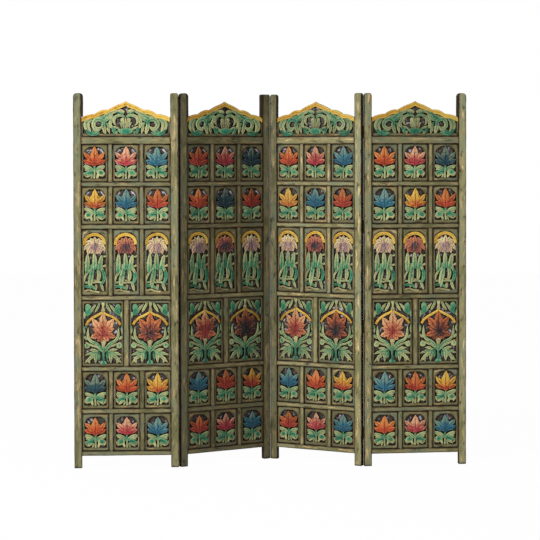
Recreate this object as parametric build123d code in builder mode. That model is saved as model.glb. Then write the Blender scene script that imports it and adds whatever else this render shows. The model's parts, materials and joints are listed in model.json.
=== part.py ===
"""A folding screen of four carved wooden panels.

Each panel is a mortised frame: two stiles on feet, seven rails and eleven muntins.
Grooves in the frame hold thin back boards, and a carved fret stands on each board,
with a cusped crest above the top rail.  Butt hinges join the panels so that they fold
like a concertina: the outer pairs close back to back, the middle pair face to face.

Frame: +Z up, feet on Z = 0, X along the screen, -Y towards the carved side.
All lengths are in millimetres and all angles in degrees.
"""

from build123d import *
from math import cos, hypot, radians, sin
import os

# --- Frame of one panel ---
panel_width = 510.0
frame_thickness = 22.0
stile_width = 38.0
foot_height = 60.0
rail_height = 22.0
top_rail_height = 36.0
short_cell_height = 185.0
tall_cell_height = 325.0
muntin_width = 22.0
wide_muntin_width = 26.0
stile_above_crest = 39.0
stile_top_radius = 14.0
stile_foot_radius = 4.0
arris_radius = 1.5

# --- Heads of the stiles: how much wider than the shaft each one is, on its inner side,
# from a little above the crest's ends; left and right stile of each panel ---
head_steps = ((10.0, 0.0), (8.0, 11.0), (0.0, 0.0), (0.0, 9.0))
head_rise = 7.0

# --- Joinery ---
groove_depth = 6.0
tenon_length = 20.0
joinery_clearance = 0.2
edge_clearance = 0.5

# --- Boards and frets ---
board_thickness = 5.0
fret_thickness = 9.5
fret_setback = 3.5
fret_border = 11.0
fret_edge_clearance = 0.5
arch_band = 13.0

# --- Crest ---
crest_end_height = 93.0
crest_height = 173.0
crest_band = 18.0
crest_border = 12.0
eye_ring_radius = 24.0
eye_radius = 7.0

# --- Hinges ---
hinge_rises = (79.0, 187.0, -14.0, 22.0)
hinge_height = 60.0
hinge_leaf_width = 17.0
hinge_leaf_thickness = 1.6
knuckle_count = 5
knuckle_radius = 3.5
knuckle_gap = 0.3
knuckle_clearance = 0.3
pin_setback = 0.4
hinge_side_gap = 0.3
pin_radius = 1.75
pin_bore_clearance = 0.05
pin_head_radius = 2.8
pin_head_height = 1.5

# --- Screws ---
screws_per_leaf = 3
screw_spacing = 21.0
screw_inset = 9.0
screw_shank_radius = 1.5
screw_head_radius = 3.0
screw_head_height = 1.4
screw_slot_width = 0.7
screw_slot_depth = 0.6
screw_end_margin = 3.5
screw_clearance = 0.1

# --- How the screen stands: the heading of each panel, left to right ---
panel_headings = (3.9, 31.9, -28.3, 8.1)
FRONT = "front"
BACK = "back"
junction_faces = (BACK, FRONT, BACK)

# --- Carving: the leaves of each fret on its right half, as root, tip, width and bend.
# Heights are shares of the window's half height, the rest shares of its half width. ---
lotus_leaves = (
    ((0.0, -0.15), (0.0, 1.02), 0.75, 0.0),
    ((0.05, -0.1), (1.06, 0.66), 0.6, 0.0),
    ((0.0, -0.08), (1.06, 0.16), 0.55, 0.0),
    ((0.0, -0.62), (1.05, -0.12), 0.3, 0.0),
    ((0.12, -0.55), (0.95, -0.86), 0.75, 0.0),
    ((0.0, -1.04), (0.0, -0.1), 0.24, 0.0),
)
iris_leaves = (
    ((0.0, 0.28), (0.0, 0.93), 0.8, 0.0),
    ((0.0, 0.3), (0.8, 0.72), 0.55, 0.0),
    ((0.0, 0.42), (0.95, 0.38), 0.5, 0.0),
    ((0.0, 0.5), (0.55, 0.22), 0.4, 0.0),
    ((0.0, -0.5), (0.0, 0.36), 0.42, 0.0),
    ((0.1, -0.45), (0.9, 0.24), 0.4, 0.16),
    ((0.0, -0.12), (1.05, -0.02), 0.26, 0.0),
    ((0.1, -1.02), (0.95, -0.28), 0.42, -0.2),
    ((0.0, -1.04), (0.0, -0.05), 0.4, 0.0),
    ((0.0, -0.98), (1.04, -0.82), 0.3, 0.0),
)
blossom_leaves = (
    ((0.0, 0.62), (0.0, 1.04), 0.4, 0.0),
    ((1.0, 0.5), (0.2, 0.96), 0.5, 0.0),
    ((0.7, 0.66), (1.04, 1.0), 0.3, 0.0),
    ((0.0, -0.2), (0.0, 0.68), 0.6, 0.0),
    ((0.0, -0.15), (0.74, 0.44), 0.46, 0.0),
    ((0.0, -0.05), (0.7, -0.02), 0.4, 0.0),
    ((0.0, 0.1), (0.4, -0.24), 0.34, 0.0),
    ((0.0, -0.5), (0.84, 0.26), 0.2, -0.24),
    ((0.35, -0.3), (1.04, -0.34), 0.26, 0.0),
    ((0.1, -0.46), (0.96, -1.0), 0.7, 0.0),
    ((0.3, -0.56), (1.04, -0.56), 0.22, 0.0),
    ((0.0, -1.04), (0.0, -0.15), 0.18, 0.0),
)
crest_leaves = (
    ((0.98, 0.44), (0.6, 0.0), 0.15, 0.1),
    ((0.6, 0.5), (0.15, 0.78), 0.12, 0.0),
    ((0.26, -0.02), (0.26, 0.7), 0.13, 0.0),
    ((0.44, -0.02), (0.46, 0.5), 0.1, 0.0),
    ((0.2, 0.3), (0.58, 0.36), 0.08, 0.0),
    ((0.03, 0.58), (0.1, 1.04), 0.12, 0.0),
    ((0.0, -0.02), (0.0, 0.66), 0.36, 0.0),
    ((-0.2, 0.12), (0.2, 0.12), 0.16, 0.0),
)

# --- Worked out from the sizes above ---
row_heights = (
    short_cell_height,
    short_cell_height,
    tall_cell_height,
    tall_cell_height,
    short_cell_height,
    short_cell_height,
)
BLOSSOM_ROW = 2
IRIS_ROW = 3
LOTUS_ROWS = (0, 1, 4, 5)
inner_width = panel_width - 2 * stile_width
half_inner = inner_width / 2
panel_middle = panel_width / 2
narrow_cell_width = (inner_width - 2 * muntin_width) / 3
wide_cell_width = (inner_width - wide_muntin_width) / 2
row_floors = [
    foot_height + rail_height + sum(row_heights[:row]) + row * rail_height
    for row in range(len(row_heights))
]
top_rail_floor = row_floors[-1] + row_heights[-1]
crest_floor = top_rail_floor + top_rail_height
stile_height = crest_floor + crest_height + stile_above_crest
head_floor = crest_floor + crest_end_height + head_rise
hinge_floors = (row_floors[0], row_floors[2], row_floors[4], crest_floor)
hinge_levels = [floor + rise for floor, rise in zip(hinge_floors, hinge_rises)]
board_front = fret_setback + fret_thickness
board_bite = groove_depth - edge_clearance
groove_width = board_thickness + 2 * joinery_clearance
groove_middle = board_front + board_thickness / 2
fret_play = 2 * fret_edge_clearance
stub_width = muntin_width - 2 * groove_depth
wide_stub_width = wide_muntin_width - 2 * groove_depth
rail_tenon_height = rail_height - 2 * groove_depth
top_tenon_height = top_rail_height - 2 * groove_depth
pin_x = panel_width + hinge_side_gap
pin_y = frame_thickness + pin_setback
pin_head_rounding = pin_head_height / 3
knuckle_gain_radius = knuckle_radius + knuckle_clearance
knuckle_gain_height = hinge_height + 2 * (pin_head_height + edge_clearance)
knuckle_height = (hinge_height - (knuckle_count - 1) * knuckle_gap) / knuckle_count
knuckle_pitch = knuckle_height + knuckle_gap
screw_length = stile_width - tenon_length - screw_end_margin
screw_offsets = [
    (index - (screws_per_leaf - 1) / 2) * screw_spacing for index in range(screws_per_leaf)
]


def cell_centres(row):
    """The middles of a row's cells along the panel."""
    if row == BLOSSOM_ROW:
        step = wide_cell_width + wide_muntin_width
        return [panel_middle - step / 2, panel_middle + step / 2]
    step = narrow_cell_width + muntin_width
    return [panel_middle - step, panel_middle, panel_middle + step]


def cell_width(row):
    """The width of the cells of a row."""
    return wide_cell_width if row == BLOSSOM_ROW else narrow_cell_width


def muntin_centres(row):
    """The middles of the muntins between a row's cells."""
    centres = cell_centres(row)
    return [(left + right) / 2 for left, right in zip(centres, centres[1:])]


def row_middle(row):
    """The height of a row's middle."""
    return row_floors[row] + row_heights[row] / 2


def upright(depth):
    """The drawing plane that faces the front, at a depth behind the panel's front face."""
    return Plane.XZ.offset(-depth)


# --- Frame pieces, drawn in the panel's own frame: X along it, Y from front to back ---


def leaf_depth(distance, face):
    """The depth at a distance inside the face that carries the hinge pins."""
    return frame_thickness - distance if face == BACK else distance


def rail_tenons():
    """The middle height and the tenon height of every rail, from the bottom up."""
    tenons = [(floor - rail_height / 2, rail_tenon_height) for floor in row_floors]
    tenons.append((top_rail_floor + top_rail_height / 2, top_tenon_height))
    return tenons


def make_left_stile(hinge_face, head_step):
    """The stile whose outer side is at X = 0, with its grooves, mortises and hinge gains."""
    with BuildPart() as stile:
        with BuildSketch(upright(0)) as side:
            with Locations((stile_width / 2, stile_height / 2)):
                Rectangle(stile_width, stile_height)
            if head_step:
                head_middle = (stile_width + head_step) / 2, (head_floor + stile_height) / 2
                with Locations(head_middle):
                    Rectangle(stile_width + head_step, stile_height - head_floor)
            corners = side.vertices().group_by(Axis.Y)
            fillet(corners[-1], stile_top_radius)
            fillet(corners[0], stile_foot_radius)
        extrude(amount=-frame_thickness)
        ends = stile.faces().sort_by(Axis.Y)
        fillet(ends[0].edges() + ends[-1].edges(), arris_radius)

        groove_floor = foot_height + rail_height - groove_depth
        groove_top = crest_floor + crest_end_height
        groove_height = groove_top - groove_floor
        with Locations((stile_width - groove_depth / 2, groove_middle, groove_floor + groove_height / 2)):
            Box(groove_depth, groove_width, groove_height, mode=Mode.SUBTRACT)

        mortise_depth = tenon_length + edge_clearance
        for middle, height in rail_tenons():
            with Locations((stile_width - mortise_depth / 2, groove_middle, middle)):
                Box(mortise_depth, groove_width, height + 2 * joinery_clearance, mode=Mode.SUBTRACT)

        if hinge_face:
            gain_middle = leaf_depth(hinge_leaf_width / 2, hinge_face)
            with Locations([(hinge_leaf_thickness / 2, gain_middle, level) for level in hinge_levels]):
                Box(hinge_leaf_thickness, hinge_leaf_width, hinge_height, mode=Mode.SUBTRACT)
            pin_depth = leaf_depth(-pin_setback, hinge_face)
            with Locations([(-hinge_side_gap, pin_depth, level) for level in hinge_levels]):
                Cylinder(knuckle_gain_radius, knuckle_gain_height, mode=Mode.SUBTRACT)
            hole_depth = screw_length + edge_clearance
            holes = [
                (hole_depth / 2, leaf_depth(screw_inset, hinge_face), level + offset)
                for level in hinge_levels
                for offset in screw_offsets
            ]
            with Locations(holes):
                Cylinder(
                    screw_shank_radius + screw_clearance,
                    hole_depth,
                    rotation=(0, 90, 0),
                    mode=Mode.SUBTRACT,
                )
    return stile.part


def make_rails(floors, height, tenon_height, grooved_below, grooved_above):
    """Rails of one section, with end tenons and grooves for the back boards."""
    with BuildPart() as rails:
        for floor in floors:
            with Locations((panel_middle, frame_thickness / 2, floor + height / 2)):
                Box(inner_width, frame_thickness, height)
        long_edges = rails.edges().filter_by(Axis.X)
        fillet(long_edges, arris_radius)
        for floor in floors:
            with Locations((panel_middle, groove_middle, floor + height / 2)):
                Box(inner_width + 2 * tenon_length, board_thickness, tenon_height)
            if grooved_above:
                with Locations((panel_middle, groove_middle, floor + height - groove_depth / 2)):
                    Box(inner_width, groove_width, groove_depth, mode=Mode.SUBTRACT)
            if grooved_below:
                with Locations((panel_middle, groove_middle, floor + groove_depth / 2)):
                    Box(inner_width, groove_width, groove_depth, mode=Mode.SUBTRACT)
    return rails.part


def make_muntins():
    """The upright bars between the cells, grooved both sides and stub-tenoned into the rails."""
    with BuildPart() as muntins:
        for row, height in enumerate(row_heights):
            width = wide_muntin_width if row == BLOSSOM_ROW else muntin_width
            places = [(x, frame_thickness / 2, row_middle(row)) for x in muntin_centres(row)]
            with Locations(places):
                Box(width, frame_thickness, height)
        fillet(muntins.edges().filter_by(Axis.Z), arris_radius)
        for row, height in enumerate(row_heights):
            width = wide_muntin_width if row == BLOSSOM_ROW else muntin_width
            stub = wide_stub_width if row == BLOSSOM_ROW else stub_width
            with Locations([(x, groove_middle, row_middle(row)) for x in muntin_centres(row)]):
                Box(stub, board_thickness, height + 2 * board_bite)
            sides = [
                (x + side * (width - groove_depth) / 2, groove_middle, row_middle(row))
                for x in muntin_centres(row)
                for side in (-1, 1)
            ]
            with Locations(sides):
                Box(groove_depth, groove_width, height, mode=Mode.SUBTRACT)
    return muntins.part


def make_back_boards():
    """One thin board in the grooves behind each cell, and the crest's board."""
    with BuildPart() as boards:
        for row, height in enumerate(row_heights):
            with Locations([(x, groove_middle, row_middle(row)) for x in cell_centres(row)]):
                Box(cell_width(row) + 2 * board_bite, board_thickness, height + 2 * board_bite)
        with BuildSketch(upright(board_front)):
            with Locations((panel_middle, crest_floor)):
                add(crest_outline(half_inner - fret_edge_clearance))
            tongue_height = crest_end_height - edge_clearance + board_bite
            with Locations((panel_middle, crest_floor - board_bite + tongue_height / 2)):
                Rectangle(inner_width + 2 * board_bite, tongue_height)
        extrude(amount=-board_thickness)
    return boards.part


# --- Drawings of the carving, centred on their cell ---


def leaf(root, tip, width, bend):
    """A leaf between two points, bounded by two arcs; bend bows it to its left."""
    (root_x, root_y), (tip_x, tip_y) = root, tip
    length = hypot(tip_x - root_x, tip_y - root_y)
    left_x = -(tip_y - root_y) / length
    left_y = (tip_x - root_x) / length
    middle_x = (root_x + tip_x) / 2 + bend * left_x
    middle_y = (root_y + tip_y) / 2 + bend * left_y
    half = width / 2
    with BuildSketch() as drawing:
        with BuildLine():
            ThreePointArc(root, (middle_x + half * left_x, middle_y + half * left_y), tip)
            ThreePointArc(tip, (middle_x - half * left_x, middle_y - half * left_y), root)
        make_face()
    return drawing.sketch


def spray(leaves, half_width, half_height):
    """A set of leaves, scaled to its window, with their mirror images on the left."""
    with BuildSketch() as drawing:
        for (root_x, root_y), (tip_x, tip_y), width, bend in leaves:
            root = (root_x * half_width, root_y * half_height)
            tip = (tip_x * half_width, tip_y * half_height)
            add(leaf(root, tip, width * half_width, bend * half_width))
        mirror(about=Plane.YZ)
    return drawing.sketch


def arch(span, foot_y, crown_y):
    """A round arched band between two feet."""
    outer = span / 2
    inner = outer - arch_band
    with BuildSketch() as drawing:
        with BuildLine():
            ThreePointArc((-outer, foot_y), (0, crown_y), (outer, foot_y))
            Line((outer, foot_y), (inner, foot_y))
            ThreePointArc((inner, foot_y), (0, crown_y - arch_band), (-inner, foot_y))
            Line((-inner, foot_y), (-outer, foot_y))
        make_face()
    return drawing.sketch


def arched_window(half_width, half_height):
    """A window whose head is an arch."""
    spring_y = 0.5 * half_height
    haunch = (0.6 * half_width, 0.87 * half_height)
    with BuildSketch() as drawing:
        with BuildLine():
            Line((0, -half_height), (half_width, -half_height))
            Line((half_width, -half_height), (half_width, spring_y))
            ThreePointArc((half_width, spring_y), haunch, (0, half_height))
            Line((0, half_height), (0, -half_height))
        make_face()
        mirror(about=Plane.YZ)
    return drawing.sketch


def draw_lotus(width, height):
    """A fret with an open lotus on a stem between two pairs of leaves."""
    window_x = width / 2 - fret_border
    window_y = height / 2 - fret_border
    with BuildSketch() as drawing:
        Rectangle(width, height)
        add(arched_window(window_x, window_y), mode=Mode.SUBTRACT)
        add(spray(lotus_leaves, window_x, window_y))
        with Locations((0, 0.08 * window_y)):
            Ellipse(0.55 * window_x, 0.24 * window_y)
    return drawing.sketch


def draw_iris(width, height):
    """A fret with an iris under an arch, on tall crossing leaves."""
    window_x = width / 2 - fret_border
    window_y = height / 2 - fret_border
    with BuildSketch() as drawing:
        Rectangle(width, height)
        Rectangle(2 * window_x, 2 * window_y, mode=Mode.SUBTRACT)
        add(arch(width - fret_border, 0.66 * window_y, 0.95 * window_y))
        add(spray(iris_leaves, window_x, window_y))
    return drawing.sketch


def draw_blossom(width, height):
    """A fret with a seven-lobed blossom under an arch, with broad leaves below it."""
    window_x = width / 2 - fret_border
    window_y = height / 2 - fret_border
    with BuildSketch() as drawing:
        Rectangle(width, height)
        Rectangle(2 * window_x, 2 * window_y, mode=Mode.SUBTRACT)
        add(arch(width - fret_border, 0.4 * window_y, 0.74 * window_y))
        add(spray(blossom_leaves, window_x, window_y))
    return drawing.sketch


def crest_outline(half_width, drop=0.0):
    """The crest's outline: two scallops and an ogee shoulder rise to a point on each side."""
    rise = crest_height - crest_end_height

    def point(along, share):
        return along * half_inner, crest_end_height - drop + share * rise

    end = (half_width, crest_end_height - drop)
    outer_cusp = point(0.69, 0.225)
    inner_cusp = point(0.4, 0.475)
    ogee = point(0.12, 0.84)
    apex = point(0.0, 1.0)
    outer_crown = point(0.86, 0.19)
    inner_crown = point(0.54, 0.47)
    shoulder = point(0.265, 0.7)
    sweep = point(0.06, 0.9)
    with BuildSketch() as drawing:
        with BuildLine():
            Line((0, 0), (half_width, 0))
            Line((half_width, 0), end)
            ThreePointArc(end, outer_crown, outer_cusp)
            ThreePointArc(outer_cusp, inner_crown, inner_cusp)
            ThreePointArc(inner_cusp, shoulder, ogee)
            ThreePointArc(ogee, sweep, apex)
            Line(apex, (0, 0))
        make_face()
        mirror(about=Plane.YZ)
    return drawing.sketch


def draw_crest():
    """The crest's fret: a cusped band over scrolls, leaves and a palmette."""
    half_width = half_inner - fret_edge_clearance
    across = half_width - crest_border
    rise = crest_height - crest_band - crest_border
    eyes = [(side * 0.62 * across, crest_border + 0.34 * rise) for side in (-1, 1)]
    posts = [(side * (half_width - crest_border / 2), crest_end_height / 2) for side in (-1, 1)]
    with BuildSketch() as drawing:
        add(crest_outline(half_width))
        add(crest_outline(across, crest_band), mode=Mode.SUBTRACT)
        with Locations((0, crest_border / 2)):
            Rectangle(2 * half_width, crest_border)
        with Locations(posts):
            Rectangle(crest_border, crest_end_height)
        with Locations(eyes):
            Circle(eye_ring_radius)
            Circle(eye_radius, mode=Mode.SUBTRACT)
        with Locations((0, crest_border)):
            add(spray(crest_leaves, across, rise))
    return drawing.sketch


def make_frets(rows, drawing):
    """The same fret in every cell of some rows, standing on the back boards."""
    with BuildPart() as frets:
        with BuildSketch(upright(fret_setback)):
            with Locations([(x, row_middle(row)) for row in rows for x in cell_centres(row)]):
                add(drawing)
        extrude(amount=-fret_thickness)
    return frets.part


def make_crest():
    """The carved crest on the top rail."""
    with BuildPart() as crest:
        with BuildSketch(upright(fret_setback)):
            with Locations((panel_middle, crest_floor)):
                add(draw_crest())
        extrude(amount=-fret_thickness)
    return crest.part


# --- Hinges, drawn on the panel's right side with their pins just behind its back face ---


def knuckle_middles(first):
    """The heights of every second knuckle of each hinge, counted from the bottom."""
    lowest = -hinge_height / 2 + knuckle_height / 2
    return [
        level + lowest + index * knuckle_pitch
        for level in hinge_levels
        for index in range(first, knuckle_count, 2)
    ]


def screw_heights():
    """The height of every screw of the leaves on one stile."""
    return [level + offset for level in hinge_levels for offset in screw_offsets]


def make_leaves(first_knuckle):
    """The hinge leaves let into one stile, with their knuckles and countersunk holes."""
    plate_x = panel_width - hinge_leaf_thickness / 2
    plate_y = frame_thickness - hinge_leaf_width / 2
    tab_y = pin_y - knuckle_gain_radius / 2
    head_x = panel_width - screw_head_height / 2
    screw_y = frame_thickness - screw_inset
    hole_radius = screw_shank_radius + screw_clearance
    with BuildPart() as leaves:
        with Locations([(plate_x, plate_y, level) for level in hinge_levels]):
            Box(hinge_leaf_thickness, hinge_leaf_width, hinge_height)
        with Locations([(pin_x, pin_y, level) for level in hinge_levels]):
            Cylinder(knuckle_gain_radius, hinge_height, mode=Mode.SUBTRACT)
        with Locations([(plate_x, tab_y, z) for z in knuckle_middles(first_knuckle)]):
            Box(hinge_leaf_thickness, knuckle_gain_radius, knuckle_height)
        with Locations([(pin_x, pin_y, z) for z in knuckle_middles(first_knuckle)]):
            Cylinder(knuckle_radius, knuckle_height)
        with Locations([(pin_x, pin_y, level) for level in hinge_levels]):
            Cylinder(pin_radius + pin_bore_clearance, hinge_height, mode=Mode.SUBTRACT)
        with Locations([(head_x, screw_y, z) for z in screw_heights()]):
            Cone(
                hole_radius,
                screw_head_radius + screw_clearance,
                screw_head_height,
                rotation=(0, 90, 0),
                mode=Mode.SUBTRACT,
            )
        with Locations([(plate_x, screw_y, z) for z in screw_heights()]):
            Cylinder(hole_radius, hinge_leaf_thickness, rotation=(0, 90, 0), mode=Mode.SUBTRACT)
    return leaves.part


def make_screws():
    """The countersunk screws that hold the leaves to one stile."""
    screw_y = frame_thickness - screw_inset
    with BuildPart() as screws:
        with Locations([(panel_width - screw_head_height / 2, screw_y, z) for z in screw_heights()]):
            Cone(screw_shank_radius, screw_head_radius, screw_head_height, rotation=(0, 90, 0))
        with Locations([(panel_width - screw_length / 2, screw_y, z) for z in screw_heights()]):
            Cylinder(screw_shank_radius, screw_length, rotation=(0, 90, 0))
        with Locations([(panel_width - screw_slot_depth / 2, screw_y, z) for z in screw_heights()]):
            Box(screw_slot_depth, 2 * screw_head_radius, screw_slot_width, mode=Mode.SUBTRACT)
    return screws.part


def make_pins():
    """The loose pins, with a round head above and below each hinge."""
    head_rise = (hinge_height + pin_head_height) / 2
    head_heights = [level + side * head_rise for level in hinge_levels for side in (-1, 1)]
    with BuildPart() as pins:
        with Locations([(pin_x, pin_y, z) for z in head_heights]):
            Cylinder(pin_head_radius, pin_head_height)
        fillet(pins.edges().filter_by(GeomType.CIRCLE), pin_head_rounding)
        with Locations([(pin_x, pin_y, level) for level in hinge_levels]):
            Cylinder(pin_radius, hinge_height)
    return pins.part


# --- Placing: the panels are chained from pin to pin ---


def flip_sideways(part):
    """The mirror image on the panel's other side."""
    return part.mirror(Plane.YZ.offset(panel_middle))


def facing(part, face):
    """A hinge part, drawn with its pins behind, turned to the face that carries them."""
    return part.mirror(Plane.XZ.offset(-frame_thickness / 2)) if face == FRONT else part


def pin_point(side, face):
    """The pin line of one side of a panel, in the panel's own frame."""
    x = pin_x if side > 0 else panel_width - pin_x
    y = pin_y if face == BACK else frame_thickness - pin_y
    return x, y


def turned(point, heading):
    """A point of the panel's frame turned to its heading."""
    x, y = point
    return (
        x * cos(radians(heading)) - y * sin(radians(heading)),
        x * sin(radians(heading)) + y * cos(radians(heading)),
    )


def chain_panels():
    """The corner of each panel and the line of each row of pins, before centring."""
    corners = [(0.0, 0.0)]
    pins = []
    for index, face in enumerate(junction_faces):
        reach = turned(pin_point(1, face), panel_headings[index])
        pin = (corners[-1][0] + reach[0], corners[-1][1] + reach[1])
        back = turned(pin_point(-1, face), panel_headings[index + 1])
        corners.append((pin[0] - back[0], pin[1] - back[1]))
        pins.append(pin)
    return corners, pins


def make_sections():
    """The pieces that every panel has in the same place, by name."""
    cross_floors = [floor - rail_height for floor in row_floors[1:]]
    lotus = draw_lotus(narrow_cell_width - fret_play, short_cell_height - fret_play)
    iris = draw_iris(narrow_cell_width - fret_play, tall_cell_height - fret_play)
    blossom = draw_blossom(wide_cell_width - fret_play, tall_cell_height - fret_play)
    return {
        "cross_rails": make_rails(cross_floors, rail_height, rail_tenon_height, True, True),
        "bottom_rail": make_rails([foot_height], rail_height, rail_tenon_height, False, True),
        "top_rail": make_rails([top_rail_floor], top_rail_height, top_tenon_height, True, True),
        "muntins": make_muntins(),
        "back_boards": make_back_boards(),
        "lotus_frets": make_frets(LOTUS_ROWS, lotus),
        "iris_frets": make_frets([IRIS_ROW], iris),
        "blossom_frets": make_frets([BLOSSOM_ROW], blossom),
        "crest": make_crest(),
    }


def place_panels(places):
    """Every piece of the four panels by name, each at its panel's place."""
    sections = make_sections()
    nodes = {}
    for index, place in enumerate(places):
        panel = f"panel_{index + 1}"
        left_face = junction_faces[index - 1] if index > 0 else None
        right_face = junction_faces[index] if index < len(junction_faces) else None
        left_step, right_step = head_steps[index]
        right_stile = flip_sideways(make_left_stile(right_face, right_step))
        nodes[f"{panel}_left_stile"] = make_left_stile(left_face, left_step).moved(place)
        nodes[f"{panel}_right_stile"] = right_stile.moved(place)
        for name, part in sections.items():
            nodes[f"{panel}_{name}"] = part.moved(place)
    return nodes


def place_hinges(places):
    """Every piece of the three rows of hinges by name, each at its panel's place."""
    left_leaves = make_leaves(0)
    right_leaves = flip_sideways(make_leaves(1))
    left_screws = make_screws()
    right_screws = flip_sideways(left_screws)
    pins = make_pins()
    nodes = {}
    for index, face in enumerate(junction_faces):
        hinges = f"hinges_{index + 1}"
        left_place, right_place = places[index], places[index + 1]
        nodes[f"{hinges}_left_leaves"] = facing(left_leaves, face).moved(left_place)
        nodes[f"{hinges}_pins"] = facing(pins, face).moved(left_place)
        nodes[f"{hinges}_left_screws"] = facing(left_screws, face).moved(left_place)
        nodes[f"{hinges}_right_leaves"] = facing(right_leaves, face).moved(right_place)
        nodes[f"{hinges}_right_screws"] = facing(right_screws, face).moved(right_place)
    return nodes


def write_screen():
    """Centre the screen over its footprint and write one STEP file for each node."""
    corners, pin_lines = chain_panels()
    places = [
        Location((x, y, 0), (0, 0, heading)) for (x, y), heading in zip(corners, panel_headings)
    ]
    nodes = place_panels(places) | place_hinges(places)
    boxes = [part.bounding_box() for part in nodes.values()]
    centre_x = (min(box.min.X for box in boxes) + max(box.max.X for box in boxes)) / 2
    centre_y = (min(box.min.Y for box in boxes) + max(box.max.Y for box in boxes)) / 2
    os.makedirs("parts", exist_ok=True)
    for name, part in nodes.items():
        placed = part.moved(Location((-centre_x, -centre_y, 0)))
        placed.label = name
        export_step(placed, f"parts/{name}.step")
    for number, (x, y) in enumerate(pin_lines, start=1):
        print(f"pin line {number}: x {x - centre_x:.3f} y {y - centre_y:.3f}")
    print(f"first panel corner: x {-centre_x:.3f} y {-centre_y:.3f}, {len(nodes)} nodes")


write_screen()
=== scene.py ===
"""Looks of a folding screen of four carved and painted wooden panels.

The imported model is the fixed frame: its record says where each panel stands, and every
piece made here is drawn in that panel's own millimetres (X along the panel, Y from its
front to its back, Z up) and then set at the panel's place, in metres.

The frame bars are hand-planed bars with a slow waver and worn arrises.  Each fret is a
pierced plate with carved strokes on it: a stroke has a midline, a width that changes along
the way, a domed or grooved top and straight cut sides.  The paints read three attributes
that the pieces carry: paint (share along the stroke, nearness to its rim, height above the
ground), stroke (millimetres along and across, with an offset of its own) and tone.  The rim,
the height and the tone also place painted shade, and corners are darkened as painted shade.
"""

import json
import logging
import math
import random
from dataclasses import dataclass, replace
from enum import Enum

import bpy
import numpy as np
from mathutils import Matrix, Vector


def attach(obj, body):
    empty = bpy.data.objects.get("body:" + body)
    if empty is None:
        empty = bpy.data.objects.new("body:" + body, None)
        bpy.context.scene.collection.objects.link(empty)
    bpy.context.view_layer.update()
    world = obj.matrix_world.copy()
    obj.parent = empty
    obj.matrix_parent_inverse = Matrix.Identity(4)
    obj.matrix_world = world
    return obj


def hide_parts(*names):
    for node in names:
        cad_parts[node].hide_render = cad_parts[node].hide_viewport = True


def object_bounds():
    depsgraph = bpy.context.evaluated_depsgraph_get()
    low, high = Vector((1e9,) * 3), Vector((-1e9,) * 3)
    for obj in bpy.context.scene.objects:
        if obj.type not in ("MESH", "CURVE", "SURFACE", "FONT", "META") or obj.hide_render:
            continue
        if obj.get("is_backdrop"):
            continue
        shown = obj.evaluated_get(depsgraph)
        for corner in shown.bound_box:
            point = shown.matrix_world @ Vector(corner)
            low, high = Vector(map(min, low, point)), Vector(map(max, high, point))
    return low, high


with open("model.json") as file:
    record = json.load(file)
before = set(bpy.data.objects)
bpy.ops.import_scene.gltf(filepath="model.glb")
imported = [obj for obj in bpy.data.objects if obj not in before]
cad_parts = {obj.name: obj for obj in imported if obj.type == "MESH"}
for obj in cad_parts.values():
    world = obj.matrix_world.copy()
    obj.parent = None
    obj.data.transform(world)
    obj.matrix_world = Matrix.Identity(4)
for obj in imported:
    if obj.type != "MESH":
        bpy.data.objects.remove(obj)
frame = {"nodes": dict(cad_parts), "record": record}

Point = tuple[float, float]
Array = np.ndarray
Colour = tuple[float, float, float, float]
Socket = bpy.types.NodeSocket
Tint = str | Socket
Level = float | Socket

LOG = logging.getLogger("carved_screen")
MM = 0.001
PANELS = (1, 2, 3, 4)
SEED = 7

# Nearly all of a cloudy pattern lies between these two values, and the tones are chosen there too.
PATTERN_LOW, PATTERN_HIGH = 0.25, 0.75
# How bright a paint is at the lowest of those tones and at the highest.
TONE_LOW, TONE_HIGH = 0.5, 1.4
NOISE_ROUGHNESS = 0.55
CORNER_SAMPLES = 6


# --- Colour and shader trees ---


def linear(code: str) -> Colour:
    """Turn an sRGB hex value into linear light.

    Args:
        code: six hex digits, such as "d8a03c".

    Returns:
        Red, green, blue and an alpha of one.
    """
    shares = [int(code[i : i + 2], 16) / 255 for i in (0, 2, 4)]
    light = [s / 12.92 if s <= 0.04045 else ((s + 0.055) / 1.055) ** 2.4 for s in shares]
    return light[0], light[1], light[2], 1.0


def add_node(
    tree: bpy.types.NodeTree, kind: str, fill: dict | None = None, **settings: object
) -> bpy.types.Node:
    """Add one node with its settings, values and links.

    Args:
        tree: the shader tree.
        kind: the node's type name.
        fill: input name or index to a value, a hex colour or a socket to link from.
        settings: properties of the node; stops is a colour ramp's list of place and hex colour.

    Returns:
        The new node.
    """
    node = tree.nodes.new(kind)
    for order, (place, code) in enumerate(settings.pop("stops", ())):
        stops = node.color_ramp.elements
        stop = stops[order] if order < 2 else stops.new(place)
        stop.position = place
        stop.color = linear(code)
    for name, value in settings.items():
        setattr(node, name, value)
    for socket, source in (fill or {}).items():
        if isinstance(source, Socket):
            tree.links.new(source, node.inputs[socket])
        elif isinstance(source, str):
            node.inputs[socket].default_value = linear(source)
        else:
            node.inputs[socket].default_value = source
    return node


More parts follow.
